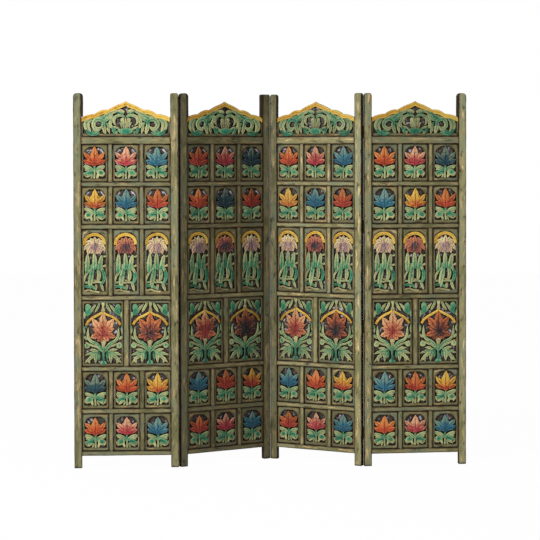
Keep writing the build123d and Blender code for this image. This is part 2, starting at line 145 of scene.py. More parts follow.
class Coat:
    """The shader tree of one finish while its layers are laid, one over another."""

    def __init__(self, name: str) -> None:
        """Start an empty material and read the attributes that the pieces carry.

        Args:
            name: the material's name.
        """
        self.material = bpy.data.materials.new(name)
        self.material.use_nodes = True
        self.tree = self.material.node_tree
        self.tree.nodes.clear()
        paint = add_node(self.tree, "ShaderNodeAttribute", attribute_name="paint")
        split = add_node(self.tree, "ShaderNodeSeparateXYZ", {0: paint.outputs["Vector"]})
        self.along, self.rim, self.height = split.outputs
        self.stroke = add_node(self.tree, "ShaderNodeAttribute", attribute_name="stroke").outputs["Vector"]
        self.tone = add_node(self.tree, "ShaderNodeAttribute", attribute_name="tone").outputs["Fac"]

    def read_object(self) -> None:
        """Take the patterns' place from the object's own coordinates, for pieces from the CAD."""
        place = add_node(self.tree, "ShaderNodeTexCoord").outputs["Object"]
        fill = {0: place, 1: (1 / MM,) * 3}
        self.stroke = add_node(self.tree, "ShaderNodeVectorMath", fill, operation="MULTIPLY").outputs[0]

    def pattern(self, size: float, stretch: float = 1.0, detail: float = 3.0) -> Socket:
        """Lay out an even, cloudy pattern.

        Args:
            size: width of one cloud in millimetres.
            stretch: how many times longer it is along the stroke than across it.
            detail: how many finer octaves it holds.

        Returns:
            A value from nought to one, about a half on average.
        """
        scale = (1 / (size * stretch), 1 / size, 1 / size)
        placed = add_node(self.tree, "ShaderNodeMapping", {"Vector": self.stroke, "Scale": scale})
        fill = {"Vector": placed.outputs[0], "Scale": 1.0, "Detail": detail, "Roughness": NOISE_ROUGHNESS}
        return add_node(self.tree, "ShaderNodeTexNoise", fill).outputs["Fac"]

    def openness(self, reach: float) -> Socket:
        """Tell how open a place is, from nought in a tight corner to one.

        Args:
            reach: how far it looks, in millimetres.

        Returns:
            The openness.
        """
        fill = {"Distance": reach * MM}
        node = add_node(self.tree, "ShaderNodeAmbientOcclusion", fill, samples=CORNER_SAMPLES)
        return node.outputs["AO"]

    def mask(self, value: Socket, low: float, high: float) -> Socket:
        """Rise smoothly from nought to one, or fall where low is above high.

        Args:
            value: what is measured.
            low: where the mask is nought.
            high: where it is one.

        Returns:
            The mask.
        """
        fill = {"Value": value, "From Min": low, "From Max": high}
        return add_node(self.tree, "ShaderNodeMapRange", fill, interpolation_type="SMOOTHSTEP").outputs[0]

    def sum(self, value: Socket, other: Socket, gain: float) -> Socket:
        """Add a pattern, counted from its middle, to a value.

        Args:
            value: the value so far.
            other: the pattern.
            gain: how strongly the pattern counts.

        Returns:
            The sum.
        """
        centred = add_node(self.tree, "ShaderNodeMath", {0: other, 1: 0.5}, operation="SUBTRACT")
        fill = {0: centred.outputs[0], 1: gain, 2: value}
        return add_node(self.tree, "ShaderNodeMath", fill, operation="MULTIPLY_ADD").outputs[0]

    def both(self, one: Socket, other: Level) -> Socket:
        """Multiply a mask by another mask or by a share."""
        return add_node(self.tree, "ShaderNodeMath", {0: one, 1: other}, operation="MULTIPLY").outputs[0]

    def over(self, under: Tint, coat: Tint, mask: Socket) -> Socket:
        """Lay one colour over another where the mask says."""
        fill = {0: mask, 6: under, 7: coat}
        return add_node(self.tree, "ShaderNodeMix", fill, data_type="RGBA").outputs[2]

    def shade(self, colour: Tint, value: Socket, low: float, high: float) -> Socket:
        """Darken or lighten a colour evenly, by a pattern or by the tone.

        Args:
            colour: the colour so far.
            value: the pattern, from nought to one.
            low: the brightness where the pattern is low.
            high: the brightness where it is high.

        Returns:
            The changed colour.
        """
        fill = {"Value": value, "From Min": PATTERN_LOW, "From Max": PATTERN_HIGH}
        fill.update({"To Min": low, "To Max": high})
        level = add_node(self.tree, "ShaderNodeMapRange", fill).outputs[0]
        fill = {"Color": colour, "Value": level}
        return add_node(self.tree, "ShaderNodeHueSaturation", fill).outputs[0]

    def close(
        self,
        colour: Tint,
        roughness: Level,
        relief: Socket,
        depth: float,
        metallic: Level = 0.0,
        sheen: float = 0.22,
    ) -> bpy.types.Material:
        """Finish the material.

        Args:
            colour: the last colour.
            roughness: a value or a pattern.
            relief: the pattern that stands up from the surface.
            depth: how far it stands up, in millimetres.
            metallic: one for bare metal.
            sheen: how strongly the bare surface mirrors; low for matt, dry paint.

        Returns:
            The material.
        """
        fill = {"Strength": 1.0, "Distance": depth * MM, "Height": relief}
        bump = add_node(self.tree, "ShaderNodeBump", fill).outputs[0]
        fill = {"Base Color": colour, "Roughness": roughness, "Metallic": metallic, "Normal": bump}
        fill["Specular IOR Level"] = sheen
        shader = add_node(self.tree, "ShaderNodeBsdfPrincipled", fill)
        add_node(self.tree, "ShaderNodeOutputMaterial", {0: shader.outputs[0]})
        return self.material


# --- Finishes ---


@dataclass(frozen=True)
class ChalkPaint:
    """Chalky sage paint brushed over planed mango wood, then rubbed and waxed.

    To the eye: matt grey green with bluish and tan patches, fine brush lines along each bar,
    tan and cream streaks that are partly wear and partly a painted highlight down each bar's
    middle, tan wood where hands and knocks have worn it, dark wax stains, dark wax with painted
    shade along the edges and low on the sides, and painted shade in the corners.
    """

    name: str = "rubbed_chalk_paint_on_mango_wood"
    sage: str = "928c64"
    blue_grey: str = "848868"
    olive: str = "73724c"
    tan: str = "ab9a6c"
    cream: str = "cdb888"
    wood: str = "74512f"
    wax_and_shade: str = "2a2118"

    def material(self) -> bpy.types.Material:
        """Lay the paint, then its wear, its wax and its painted shade.

        Returns:
            The material.
        """
        coat = Coat(self.name)
        cloud = coat.pattern(60, stretch=3.0)
        patch = coat.pattern(26, stretch=4.5)
        sweep = coat.pattern(12, stretch=9.0, detail=2.0)
        smear = coat.pattern(9, stretch=5.0)
        stain = coat.pattern(24, stretch=2.0, detail=4.0)
        # Real brush lines lie under a millimetre apart; they are drawn coarser, so that they show.
        brush = coat.pattern(1.6, stretch=30.0, detail=2.0)
        chip = coat.pattern(5, stretch=2.0, detail=5.0)
        colour = coat.over(self.sage, self.blue_grey, coat.mask(cloud, 0.48, 0.57))
        colour = coat.over(colour, self.olive, coat.both(coat.mask(cloud, 0.47, 0.38), 0.9))
        rubbed = coat.sum(coat.sum(patch, smear, 0.8), coat.rim, -0.1)
        colour = coat.over(colour, self.tan, coat.both(coat.mask(rubbed, 0.58, 0.74), 0.6))
        # Tan and cream streaks: partly worn paint and partly a painted highlight, drawn towards the middle of
        # each bar by the rim.
        wear_and_highlight = coat.sum(coat.sum(coat.sum(sweep, smear, 0.4), coat.rim, -0.3), patch, 0.7)
        colour = coat.over(colour, self.tan, coat.both(coat.mask(wear_and_highlight, 0.67, 0.8), 0.85))
        colour = coat.over(colour, self.cream, coat.both(coat.mask(wear_and_highlight, 0.76, 0.9), 0.95))
        colour = coat.shade(colour, brush, 0.84, 1.16)
        colour = coat.shade(colour, smear, 0.88, 1.12)
        # The tone holds painted shade as well as the paint's own tone.
        colour = coat.shade(colour, coat.tone, TONE_LOW, TONE_HIGH)
        grime = coat.mask(coat.sum(stain, smear, 0.6), 0.42, 0.24)
        colour = coat.over(colour, self.wax_and_shade, coat.both(grime, 0.62))
        knock = coat.mask(coat.sum(coat.sum(patch, chip, 0.9), coat.rim, 0.14), 0.62, 0.7)
        colour = coat.over(colour, self.wood, coat.both(knock, 0.62))
        # Tan wood worn along the arrises, then dark wax with painted shade along the edges.
        edge = coat.sum(coat.sum(coat.rim, smear, 1.2), brush, 0.3)
        colour = coat.over(colour, self.wood, coat.both(coat.mask(edge, 0.36, 0.72), 0.55))
        colour = coat.over(colour, self.wax_and_shade, coat.both(coat.mask(edge, 0.5, 0.95), 0.92))
        # Painted shade with dark wax, low on the bar's sides where the height attribute falls.
        deep = coat.mask(coat.sum(coat.height, chip, 0.3), 0.95, 0.45)
        colour = coat.over(colour, self.wax_and_shade, coat.both(deep, 0.93))
        # Painted shade: darker where a place is shut in, in corners and recesses.
        corner = coat.mask(coat.sum(coat.openness(11), stain, 0.6), 0.99, 0.66)
        colour = coat.over(colour, self.wax_and_shade, coat.both(corner, 0.92))
        rough = coat.mask(coat.sum(edge, brush, 0.4), 2.2, -0.9)
        return coat.close(colour, rough, coat.sum(brush, chip, 0.8), 0.4)


@dataclass(frozen=True)
class CarvedPaint:
    """Milk paint brushed on a carved form in three tones, from its root to its tip.

    To the eye: soft blends between the tones, brush lines along the form, a darker cut
    groove in its middle, a rubbed rim, dark wax stains, and dark wax with painted shade low on
    the cut sides.  The rim is rubbed by rim_share from rim_start outwards, and corner_shade_share
    is how strongly painted shade darkens the tight corners.
    """

    name: str
    root: str
    middle: str
    tip: str
    vein: str
    rim: str
    rim_share: float = 0.35
    rim_start: float = 0.72
    wax_and_shade: str = "191310"
    worn: str = "b59a6a"
    corner_shade_share: float = 0.92

    def material(self) -> bpy.types.Material:
        """Lay the paint, then its wear, its wax and its painted shade.

        Returns:
            The material.
        """
        coat = Coat(self.name)
        cloud = coat.pattern(15)
        # Real brush lines lie under a millimetre apart; they are drawn coarser, so that they show.
        brush = coat.pattern(1.4, stretch=8.0, detail=2.0)
        chip = coat.pattern(5, stretch=1.5, detail=4.0)
        place = coat.sum(coat.sum(coat.along, cloud, 1.0), chip, 0.5)
        place = coat.sum(coat.sum(place, brush, 0.3), coat.tone, 0.8)
        stops = [(0.15, self.root), (0.8, self.tip), (0.47, self.middle)]
        colour = add_node(coat.tree, "ShaderNodeValToRGB", {0: place}, stops=stops).outputs[0]
        colour = coat.shade(colour, brush, 0.8, 1.18)
        colour = coat.shade(colour, chip, 0.8, 1.2)
        rubbed = coat.mask(coat.sum(coat.sum(coat.rim, cloud, 0.8), brush, 0.3), self.rim_start, 1.05)
        colour = coat.over(colour, self.rim, coat.both(rubbed, self.rim_share))
        groove = coat.mask(coat.sum(coat.rim, brush, 0.16), 0.19, 0.03)
        fade = coat.mask(coat.sum(coat.along, cloud, 0.4), 1.1, 0.7)
        colour = coat.over(colour, self.vein, coat.both(coat.both(groove, fade), 0.9))
        knocks = coat.mask(coat.sum(chip, coat.rim, 0.12), 0.61, 0.71)
        colour = coat.over(colour, self.worn, coat.both(knocks, 0.55))
        # The tone holds painted shade as well as the paint's own tone.
        colour = coat.shade(colour, coat.tone, TONE_LOW, TONE_HIGH)
        grime = coat.mask(coat.sum(cloud, chip, 1.0), 0.36, 0.2)
        colour = coat.over(colour, self.wax_and_shade, coat.both(grime, 0.5))
        # Painted shade with dark wax, low on the cut sides.
        deep = coat.mask(coat.sum(coat.height, chip, 0.35), 1.02, 0.62)
        colour = coat.over(colour, self.wax_and_shade, coat.both(deep, 0.95))
        # Painted shade: darker in the tight corners between forms and the ground.
        corner = coat.mask(coat.sum(coat.openness(6), chip, 0.3), 0.92, 0.58)
        colour = coat.over(colour, self.wax_and_shade, coat.both(corner, self.corner_shade_share))
        rough = coat.mask(coat.sum(chip, brush, 0.6), -0.9, 1.7)
        return coat.close(colour, rough, coat.sum(brush, chip, 0.7), 0.35)


@dataclass(frozen=True)
class GroundStainAndShade:
    """Dark stain on thin boards: violet grey behind the carving, brown on the plain back.

    To the eye: the front is a dull, dusty dark, partly stain and partly painted shade so that
    the openings read as deep, and painted shade darkens it further towards every form and corner
    round it; the back shows plank grain under a thin brown stain with a little sage rubbed over it.
    """

    name: str = "stained_and_shaded_mango_wood_boards"
    front: str = "4b423b"
    dust: str = "b9b3c2"
    dark: str = "17100c"
    back: str = "5d4327"
    grain: str = "3a2714"
    rub: str = "80764f"

    def material(self) -> bpy.types.Material:
        """Lay both stains; the rim attribute is nought on the front and one on the back.

        Returns:
            The material.
        """
        coat = Coat(self.name)
        cloud = coat.pattern(15)
        patch = coat.pattern(70, stretch=3.0)
        # Real grain lines lie about a millimetre apart; they are drawn coarser, so that they show.
        grain = coat.pattern(2.2, stretch=26.0, detail=4.0)
        # The front's dark base is partly stain and partly painted shade for the openings.
        front = coat.over(self.front, self.dust, coat.mask(cloud, 0.56, 0.66))
        # The tone holds painted shade as well as the paint's own tone.
        front = coat.shade(coat.shade(front, grain, 0.85, 1.1), coat.tone, TONE_LOW, TONE_HIGH)
        # Painted shade: the front darkens towards every form and corner round it.
        corner = coat.mask(coat.sum(coat.openness(11), cloud, 0.5), 0.84, 0.42)
        front = coat.over(front, self.dark, coat.both(corner, 0.97))
        back = coat.over(self.back, self.grain, coat.mask(grain, 0.45, 0.68))
        back = coat.over(back, self.rub, coat.both(coat.mask(patch, 0.48, 0.7), 0.6))
        back = coat.shade(back, coat.tone, 0.8, 1.15)
        colour = coat.over(front, back, coat.mask(coat.rim, 0.45, 0.55))
        rough = coat.mask(coat.sum(grain, cloud, 0.5), -1.2, 1.6)
        return coat.close(colour, rough, grain, 0.25)


@dataclass(frozen=True)
class Ironmongery:
    """Pressed steel butt hinges and turned screws, brushed over with the frame's paint.

    To the eye: dull dark metal with a thin grey green film that has worn off the knuckles,
    and small rust-brown specks.
    """

    name: str
    steel: str
    film: str
    film_start: float
    rust: str = "4b2c16"

    def material(self) -> bpy.types.Material:
        """Lay the film and the rust over the steel, from the object's own coordinates.

        Returns:
            The material.
        """
        coat = Coat(self.name)
        coat.read_object()
        cloud = coat.pattern(9)
        speck = coat.pattern(1.6, detail=4.0)
        covered = coat.mask(coat.sum(cloud, speck, 0.5), self.film_start, self.film_start + 0.12)
        colour = coat.over(self.steel, self.film, coat.both(covered, 0.9))
        colour = coat.over(colour, self.rust, coat.both(coat.mask(speck, 0.58, 0.68), 0.8))
        rough = coat.mask(coat.sum(cloud, speck, 0.7), -0.5, 1.5)
        bare = coat.mask(covered, 1.0, 0.0)
        return coat.close(colour, rough, speck, 0.12, coat.both(bare, 0.85), 0.5)


class Bloom(Enum):
    """The flowers' colourways: root, middle, tip, vein and rim, and how much of the rim is rubbed."""

    ORANGE = CarvedPaint("orange_red_milk_paint", "a8402a", "c4562e", "d08248", "6c2016", "d29054", 0.3)
    CRIMSON = CarvedPaint("crimson_milk_paint", "ac3640", "b95a50", "d8a07c", "541820", "dca684", 0.35)
    BLUE = CarvedPaint("blue_milk_paint", "285e74", "357082", "6c8f86", "122a38", "7f9688", 0.3)
    NIGHT = CarvedPaint("dark_blue_milk_paint", "1c3a46", "2c4e56", "6b7c6a", "0e1a22", "77846e", 0.3)
    YELLOW = CarvedPaint("yellow_milk_paint", "a63a2e", "c88434", "d0a648", "6c2614", "d6b066", 0.3)
    AMBER = CarvedPaint("amber_milk_paint", "b06432", "c28a3c", "cba24a", "74331a", "d2ae66", 0.3)
    RED = CarvedPaint("red_milk_paint", "a2382e", "b04c2e", "b86c3a", "5c1a14", "c07c4a", 0.3)
    PEACH_IRIS = CarvedPaint("peach_milk_paint", "a88486", "caa684", "d9c494", "62444a", "dcca9c", 0.5)
    RED_IRIS = CarvedPaint("rust_red_milk_paint", "5c4046", "9c5048", "bf7a5a", "3c1c20", "cf9c78", 0.4)
    PURPLE_HEART = CarvedPaint("purple_milk_paint", "92727a", "a48486", "bda090", "4c3840", "bea296", 0.3)
    SLATE_HEART = CarvedPaint("slate_milk_paint", "3c3c44", "4c4246", "76564a", "222026", "7a6258", 0.25)
    PEACH_BLOSSOM = CarvedPaint(
        "peach_blossom_milk_paint", "943a38", "c4704e", "dca878", "661e22", "e0b080", 0.45
    )
    EMBER_BLOSSOM = CarvedPaint(
        "ember_blossom_milk_paint", "2a282c", "7c4236", "bb6a40", "181416", "c4844e", 0.4
    )


class Paint(Enum):
    """What a stroke is painted as; the flower's own colours come from its Bloom."""

    BORDER = 0
    LEAF = 1
    PALE = 2
    TEAL = 3
    GOLD = 4
    CREAM = 5
    PETAL = 6
    HEART = 7
    CHALK = 8


# The paints of the foliage, the bands and the chalky spots, in the order of their material slots.
FOLIAGE = {
    Paint.LEAF: CarvedPaint(
        "teal_and_sage_milk_paint", "388c6a", "80a476", "acb280", "1c4236", "b8bc80",
        rim_share=0.85, rim_start=0.45,
    ),
    Paint.PALE: CarvedPaint(
        "sage_cream_milk_paint", "82a072", "9eaa78", "b3b37e", "465638", "bebc86",
        rim_share=0.6, rim_start=0.5,
    ),
    Paint.TEAL: CarvedPaint(
        "deep_teal_milk_paint", "2a765c", "388566", "609a72", "184234", "8ca676",
        rim_share=0.7, rim_start=0.6,
    ),
    Paint.GOLD: CarvedPaint(
        "ochre_gold_milk_paint", "cb9a3a", "dcae46", "e4bd56", "8a662a", "e8c86c",
        rim_share=0.4, rim_start=0.75,
    ),
    Paint.CREAM: CarvedPaint(
        "peach_cream_milk_paint", "a09468", "aca274", "b8b07c", "625a40", "c0b888",
        rim_share=0.5, rim_start=0.6,
    ),
    Paint.CHALK: CarvedPaint(
        "lilac_white_distemper", "b9b2c6", "cfcbd8", "d8d4dc", "8e8894", "dedae2",
        worn="c8c2c8", corner_shade_share=0.15,
    ),
}


# --- Places and lines ---

SPLINE_STEPS = 14
# Share of the reach and length of the wave, for each of the sines that make up a waver.
WAVER_SINES = ((0.5, 1.0), (0.3, 0.43), (0.2, 0.19))
NARROWEST = 0.5


@dataclass(frozen=True)
class Place:
    """Where a panel stands: the front left corner of its foot and the way that it heads."""

    corner: Vector
    heading: float

    def world(self, points: Array) -> Array:
        """Turn points in the panel's own millimetres into metres in the frame.

        Args:
            points: one row each.

        Returns:
            The points in the frame, in the same order.
        """
        cosine, sine = math.cos(self.heading), math.sin(self.heading)
        turn = np.array([[cosine, sine, 0], [-sine, cosine, 0], [0, 0, 1]])
        return (points @ turn) * MM + np.array(self.corner)


def smooth_line(points: tuple[Point, ...], count: int, closed: bool = False) -> Array:
    """Draw a smooth line through points and divide it evenly.

    Args:
        points: at least two points, in millimetres.
        count: how many points the result has.
        closed: whether the line comes back to its start, which is then left out of its end.

    Returns:
        The line's points, one row each.
    """
    ends = np.array([points[0], *points, points[-1]], float)
    ends[0] = 2 * ends[1] - ends[2]
    ends[-1] = 2 * ends[-2] - ends[-3]
    if closed:
        ends = np.array([points[-1], *points, points[0], points[1]], float)
    t = np.linspace(0, 1, SPLINE_STEPS, endpoint=False)[:, None]
    runs = []
    # A cubic from b to c, which leaves b parallel to a-c and meets c parallel to b-d.
    for a, b, c, d in zip(ends, ends[1:], ends[2:], ends[3:]):
        runs.append(
            0.5 * (2 * b + (c - a) * t + (2 * a - 5 * b + 4 * c - d) * t**2 + (3 * b - a - 3 * c + d) * t**3)
        )
    line = np.vstack([*runs, ends[-2:-1]])
    walked = np.concatenate([[0], np.cumsum(np.hypot(*np.diff(line, axis=0).T))])
    marks = np.linspace(0, walked[-1], count, endpoint=not closed)
    return np.stack([np.interp(marks, walked, line[:, 0]), np.interp(marks, walked, line[:, 1])], axis=1)


def left_of(line: Array) -> Array:
    """Find the unit vectors that point to the left of a line.

    Args:
        line: its points, one row each.

    Returns:
        One vector for each point.
    """
    run = np.gradient(line, axis=0)
    run /= np.maximum(np.hypot(run[:, 0], run[:, 1]), 1e-9)[:, None]
    return np.stack([-run[:, 1], run[:, 0]], axis=1)


def straight(start: Point, end: Point, count: int) -> Array:
    """Divide a straight line evenly into points."""
    return np.stack([np.linspace(*ends, count) for ends in zip(start, end)], axis=1)


def layered(*parts: Array | float) -> Array:
    """Spread three values over the same rings and join them point by point."""
    return np.stack(np.broadcast_arrays(*parts), axis=-1)


def stray(chance: random.Random, reach: float) -> float:
    """Stray by at most reach, either way."""
    return chance.uniform(-reach, reach)


def waver(along: Array, chance: random.Random, reach: float, wave: float) -> Array:
    """Draw a slow hand-cut waver, made of sines.

    Args:
        along: the places along the line, in millimetres.
        chance: the piece's own chance.
        reach: the furthest that it strays.
        wave: the length of its longest sine.

    Returns:
        How far the line strays at each place.
    """
    return sum(
        reach * share * np.sin(2 * math.pi * (along / (wave * length) + chance.random()))
        for share, length in WAVER_SINES
    )


class Shell:
    """A mesh that grows tube by tube; each tube is a row of rings with closed ends."""

    def __init__(self, tone: float) -> None:
        """Start with nothing.

        Args:
            tone: how light the piece is drawn on the whole, about a half for its own colour, painted shade
                included.
        """
        self.tone = tone
        self.points: list[Array] = []
        self.faces: list[Array] = []
        self.slots: list[Array] = []
        self.values: dict[str, list[Array]] = {"paint": [], "stroke": [], "tone": []}
        self.count = 0

    def add(
        self, rings: Array, paint: Array, stroke: Array, tone: float, slot: int, looped: bool = False
    ) -> None:
        """Add one closed tube.

        Args:
            rings: points in millimetres, by ring and by place round the ring; an even number round.
            paint: share along, nearness to the rim and height, for each point.
            stroke: millimetres along and across and an offset, for each point.
            tone: how much lighter than the rest the tube is, about nought.
            slot: which material it takes.
            looped: whether the last ring joins the first, with no ends.
        """
        count, around = rings.shape[:2]
        index = np.arange(count * around).reshape(count, around)
        turn = np.roll(index, -1, axis=1)
        if looped:
            after, after_turn = np.roll(index, -1, axis=0), np.roll(turn, -1, axis=0)
            faces = np.stack([index, turn, after_turn, after], axis=-1).reshape(-1, 4)
        else:
            sides = np.stack([index[:-1], turn[:-1], turn[1:], index[1:]], axis=-1).reshape(-1, 4)
            near = np.arange(around // 2 - 1)
            end = np.stack([near, near + 1, around - 2 - near, around - 1 - near], axis=-1)
            faces = np.concatenate([sides, end[:, ::-1], end + (count - 1) * around])
        flat = rings.reshape(-1, 3)
        a, b, c, d = (flat[faces[:, i]] for i in range(4))
        volume = np.einsum("ij,ij->", a, np.cross(b, c)) + np.einsum("ij,ij->", a, np.cross(c, d))
        if volume < 0:
            faces = faces[:, ::-1]
        self.points.append(flat)
        self.faces.append(faces + self.count)
        self.slots.append(np.full(len(faces), slot))
        self.values["paint"].append(paint.reshape(-1, 3))
        self.values["stroke"].append(stroke.reshape(-1, 3))
        self.values["tone"].append(np.full(len(flat), self.tone + tone))
        self.count += len(flat)

    def build(self, name: str, place: Place, materials: list[bpy.types.Material]) -> bpy.types.Object:
        """Make the object.

        Args:
            name: the piece's name.
            place: where its panel stands.
            materials: the materials that the slots number.

        Returns:
            The object, at the origin, with its place in its mesh.
        """
        mesh = bpy.data.meshes.new(name)
        points = place.world(np.concatenate(self.points))
        mesh.from_pydata(points.tolist(), [], np.concatenate(self.faces).tolist())
        mesh.polygons.foreach_set("material_index", np.concatenate(self.slots))
        mesh.polygons.foreach_set("use_smooth", np.ones(len(mesh.polygons), bool))
        for label, parts in self.values.items():
            values = np.concatenate(parts).astype(np.float32)
            kind, field_name = ("FLOAT", "value") if values.ndim == 1 else ("FLOAT_VECTOR", "vector")
            mesh.attributes.new(label, kind, "POINT").data.foreach_set(field_name, values.ravel())
        for material in materials:
            mesh.materials.append(material)
        mesh.update()
        piece = bpy.data.objects.new(name, mesh)
        bpy.context.scene.collection.objects.link(piece)
        return piece


def publish(piece: bpy.types.Object, body: str, node: str) -> None:
    """Let a piece ride its body in place of a CAD node, and report it.

    Args:
        piece: the object.
        body: the body that moves it.
        node: the CAD node that it replaces.
    """
    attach(piece, body)
    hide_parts(node)
    LOG.info("%s: %d faces on %s for %s", piece.name, len(piece.data.polygons), body, node)


# --- Bars ---

# Nearness to an arris at the places of one side of a bar, and how many rings round off an end.
EDGE_NEARNESS = (0.8, 0.28, 0.0, 0.28, 0.8, 1.0)
END_RINGS = 7
# Where a stepped head needs rings of its own, in millimetres from the start of its step.
STEP_RINGS = (-0.5, 1.0, 2.5, 4.0)
# How far one bar's pattern is moved from the next one's.
BAR_SHIFT = (900, 500)


@dataclass(frozen=True)
class Bar:
    """A straight bar of the frame, between two points of its middle line (X and Z).

    Its left and right sides waver by themselves and calm down within calm_reach of its ends, and
    either can step out near the bar's end, as the heads of some stiles do; step_darkening draws the
    stepped-out flank darker.  Its corners are cut back by worn_share of the arris, or by proud_arris
    on a side that stands proud.  On its flanks the height falls by wax_and_shade_share, from
    wax_and_shade_start behind the front over wax_and_shade_reach, so that dark wax with painted
    shade lies there; with wax_and_shade_sides the whole side faces take it, at wax_and_shade_height.
    """

    start: Point
    end: Point
    width: float
    front: float
    back: float
    rounds: tuple[float, float] = (1.0, 1.0)
    arris: float = 1.5
    worn_share: float = 0.3
    proud_arris: float = 0.05
    inset: float = 6.5
    inset_share: float = 0.3
    sways: tuple[float, float] = (0.4, 0.4)
    sway_wave: float = 230.0
    bow: float = 0.16
    bow_wave: float = 240.0
    calm_reach: float = 15.0
    proud: tuple[float, float] = (0.0, 0.0)
    steps: tuple[float, float] = (0.0, 0.0)
    step_start: float = 0.0
    step_length: float = 4.0
    pitch: float = 11.0
    worn_end: float = 4.0
    end_wear: float = 0.9
    step_darkening: float = 0.75
    flank_share: float = 0.25
    wax_and_shade_start: float = 2.0
    wax_and_shade_reach: float = 9.0
    wax_and_shade_share: float = 0.75
    wax_and_shade_height: float = 0.35
    tone_play: float = 0.07
    wax_and_shade_sides: bool = False
    two_faced: bool = False

    def outline(self) -> tuple[Array, Array, Array, Array]:
        """One ring.

        Returns:
            Across, depth, nearness to an arris, and height out of the cells' corners.
        """
        half, thick = self.width / 2, self.back - self.front
        inset = min(self.inset, self.inset_share * thick, self.inset_share * self.width)
        across = [-half + self.arris, -half + inset, 0.0, half - inset, half - self.arris]
        depth = [self.front + self.arris, self.front + inset, (self.front + self.back) / 2]
        depth += [self.back - inset, self.back - self.arris]
        left, right = (self.proud_arris if proud else self.worn_share * self.arris for proud in self.proud)
        points = [(x, self.front) for x in across]
        points += [(half - right, self.front + right)]
        points += [(half, y) for y in depth]
        points += [(half - right, self.back - right)]
        points += [(x, self.back) for x in reversed(across)]
        points += [(-half + left, self.back - left)]
        points += [(-half, y) for y in reversed(depth)]
        points += [(-half + left, self.front + left)]
        v, y = np.array(points).T
        side = np.abs(v) > half - 0.5 * self.arris
        # Painted shade with dark wax: the height falls on the flanks behind the front, or on whole side
        # faces, and the paint darkens where it is low.
        sunk = np.clip((y - self.front - self.wax_and_shade_start) / self.wax_and_shade_reach, 0, 1)
        height = 1 - self.wax_and_shade_share * sunk * (y < self.back - self.arris / 2) * side
        if self.wax_and_shade_sides:
            height = np.where(side & (y > self.front + self.worn_share * self.arris), self.wax_and_shade_height, 1.0)
        return v, y, np.array(EDGE_NEARNESS * 4), height

    def stations(self, length: float) -> Array:
        """Place the rings along the bar, closer where its ends are rounded.

        Args:
            length: the bar's length in millimetres.

        Returns:
            How far each ring stands from the start.
        """
        curve = 1 - np.cos(np.linspace(0, math.pi / 2, END_RINGS))
        first, last = self.rounds
        inner = np.linspace(0, length, max(3, round(length / self.pitch) + 1))
        inner = inner[(inner > first + 1) & (inner < length - last - 1)]
        parts = [curve * first, inner, length - curve * last]
        if any(self.steps):
            parts.append(self.step_start + np.array(STEP_RINGS))
        return np.unique(np.round(np.concatenate(parts), 3))

    def add_to(self, shell: Shell, chance: random.Random) -> None:
        """Cut the bar and add it to a shell.

        Args:
            shell: the mesh that it joins.
            chance: the piece's own chance.
        """
        begin, finish = np.array(self.start, float), np.array(self.end, float)
        length = float(np.hypot(*(finish - begin)))
        run = (finish - begin) / length
        side = np.array([run[1], -run[0]])
        along = self.stations(length)
        to_end = np.minimum(along, length - along)
        v, y, edge, height = self.outline()
        half = self.width / 2
        narrow = np.zeros(len(along))
        for reach, gap in zip(self.rounds, (along, length - along)):
            short = np.clip(1 - gap / reach, 0, 1)
            narrow = np.maximum(narrow, reach * (1 - np.sqrt(1 - short**2)))
        calm = np.clip(to_end / self.calm_reach, 0, 1)
        stepped = 0 * along
        if any(self.steps):
            stepped = np.clip((along - self.step_start) / self.step_length, 0, 1) ** 0.5
        left, right = (
            half - narrow + calm * waver(along, chance, sway, self.sway_wave) + step * stepped + proud
            for sway, step, proud in zip(self.sways, self.steps, self.proud)
        )
        left, right = np.maximum(left, NARROWEST), np.maximum(right, NARROWEST)
        share = (v / half + 1) / 2
        wide = -left[:, None] * (1 - share) + right[:, None] * share
        bow = waver(along, chance, self.bow, self.bow_wave) * calm
        base = begin + along[:, None] * run
        rings = layered(base[:, :1] + wide * side[0], y + bow[:, None], base[:, 1:] + wide * side[1])
        if self.two_faced:
            worn = y > (self.front + self.back) / 2
        else:
            ends = np.clip(1 - to_end / self.worn_end, 0, 1)[:, None]
            left_flank = (self.steps[0] > 0) * (share < self.flank_share)
            right_flank = (self.steps[1] > 0) * (share > 1 - self.flank_share)
            flank = stepped[:, None] * (left_flank + right_flank)
            # The stepped-out flank of a head counts as near an arris, so it is drawn darker.
            worn = np.maximum(edge, self.end_wear * ends) + self.step_darkening * flank
        paint = layered((along / length)[:, None], worn, height)
        run_on, aside = BAR_SHIFT
        stroke = layered(along[:, None] + run_on * chance.random(), v + y, aside * chance.random())
        shell.add(rings, paint, stroke, stray(chance, self.tone_play), 0)


# --- Carved strokes and plates ---

# A stroke's section, from its left foot over its top to its right foot: where its points lie
# across it, which of them stand up, which are its top, and how they are domed and grooved.
CUT_ACROSS = np.array([-1, -1, -0.94, -0.7, -0.42, -0.13, 0, 0.13, 0.42, 0.7, 0.94, 1, 1, 0])
CUT_LIFT = np.array([0, 1, 1, 1, 1, 1, 1, 1, 1, 1, 1, 1, 0, 0], float)
CUT_TOP = np.array([0, 0, 1, 1, 1, 1, 1, 1, 1, 1, 1, 0, 0, 0], float)
CUT_DOME = CUT_TOP * (1 - np.abs(CUT_ACROSS) ** 2.2)
CUT_GROOVE = np.array([0, 0, 0, 0, 0, 0.25, 1, 0.25, 0, 0, 0, 0, 0, 0])
# Heights low on the cut sides let the paints lay dark wax with painted shade there.
CUT_HEIGHT = np.array([0, 0.72, 1, 1, 1, 1, 1, 1, 1, 1, 1, 0.72, 0, 0])
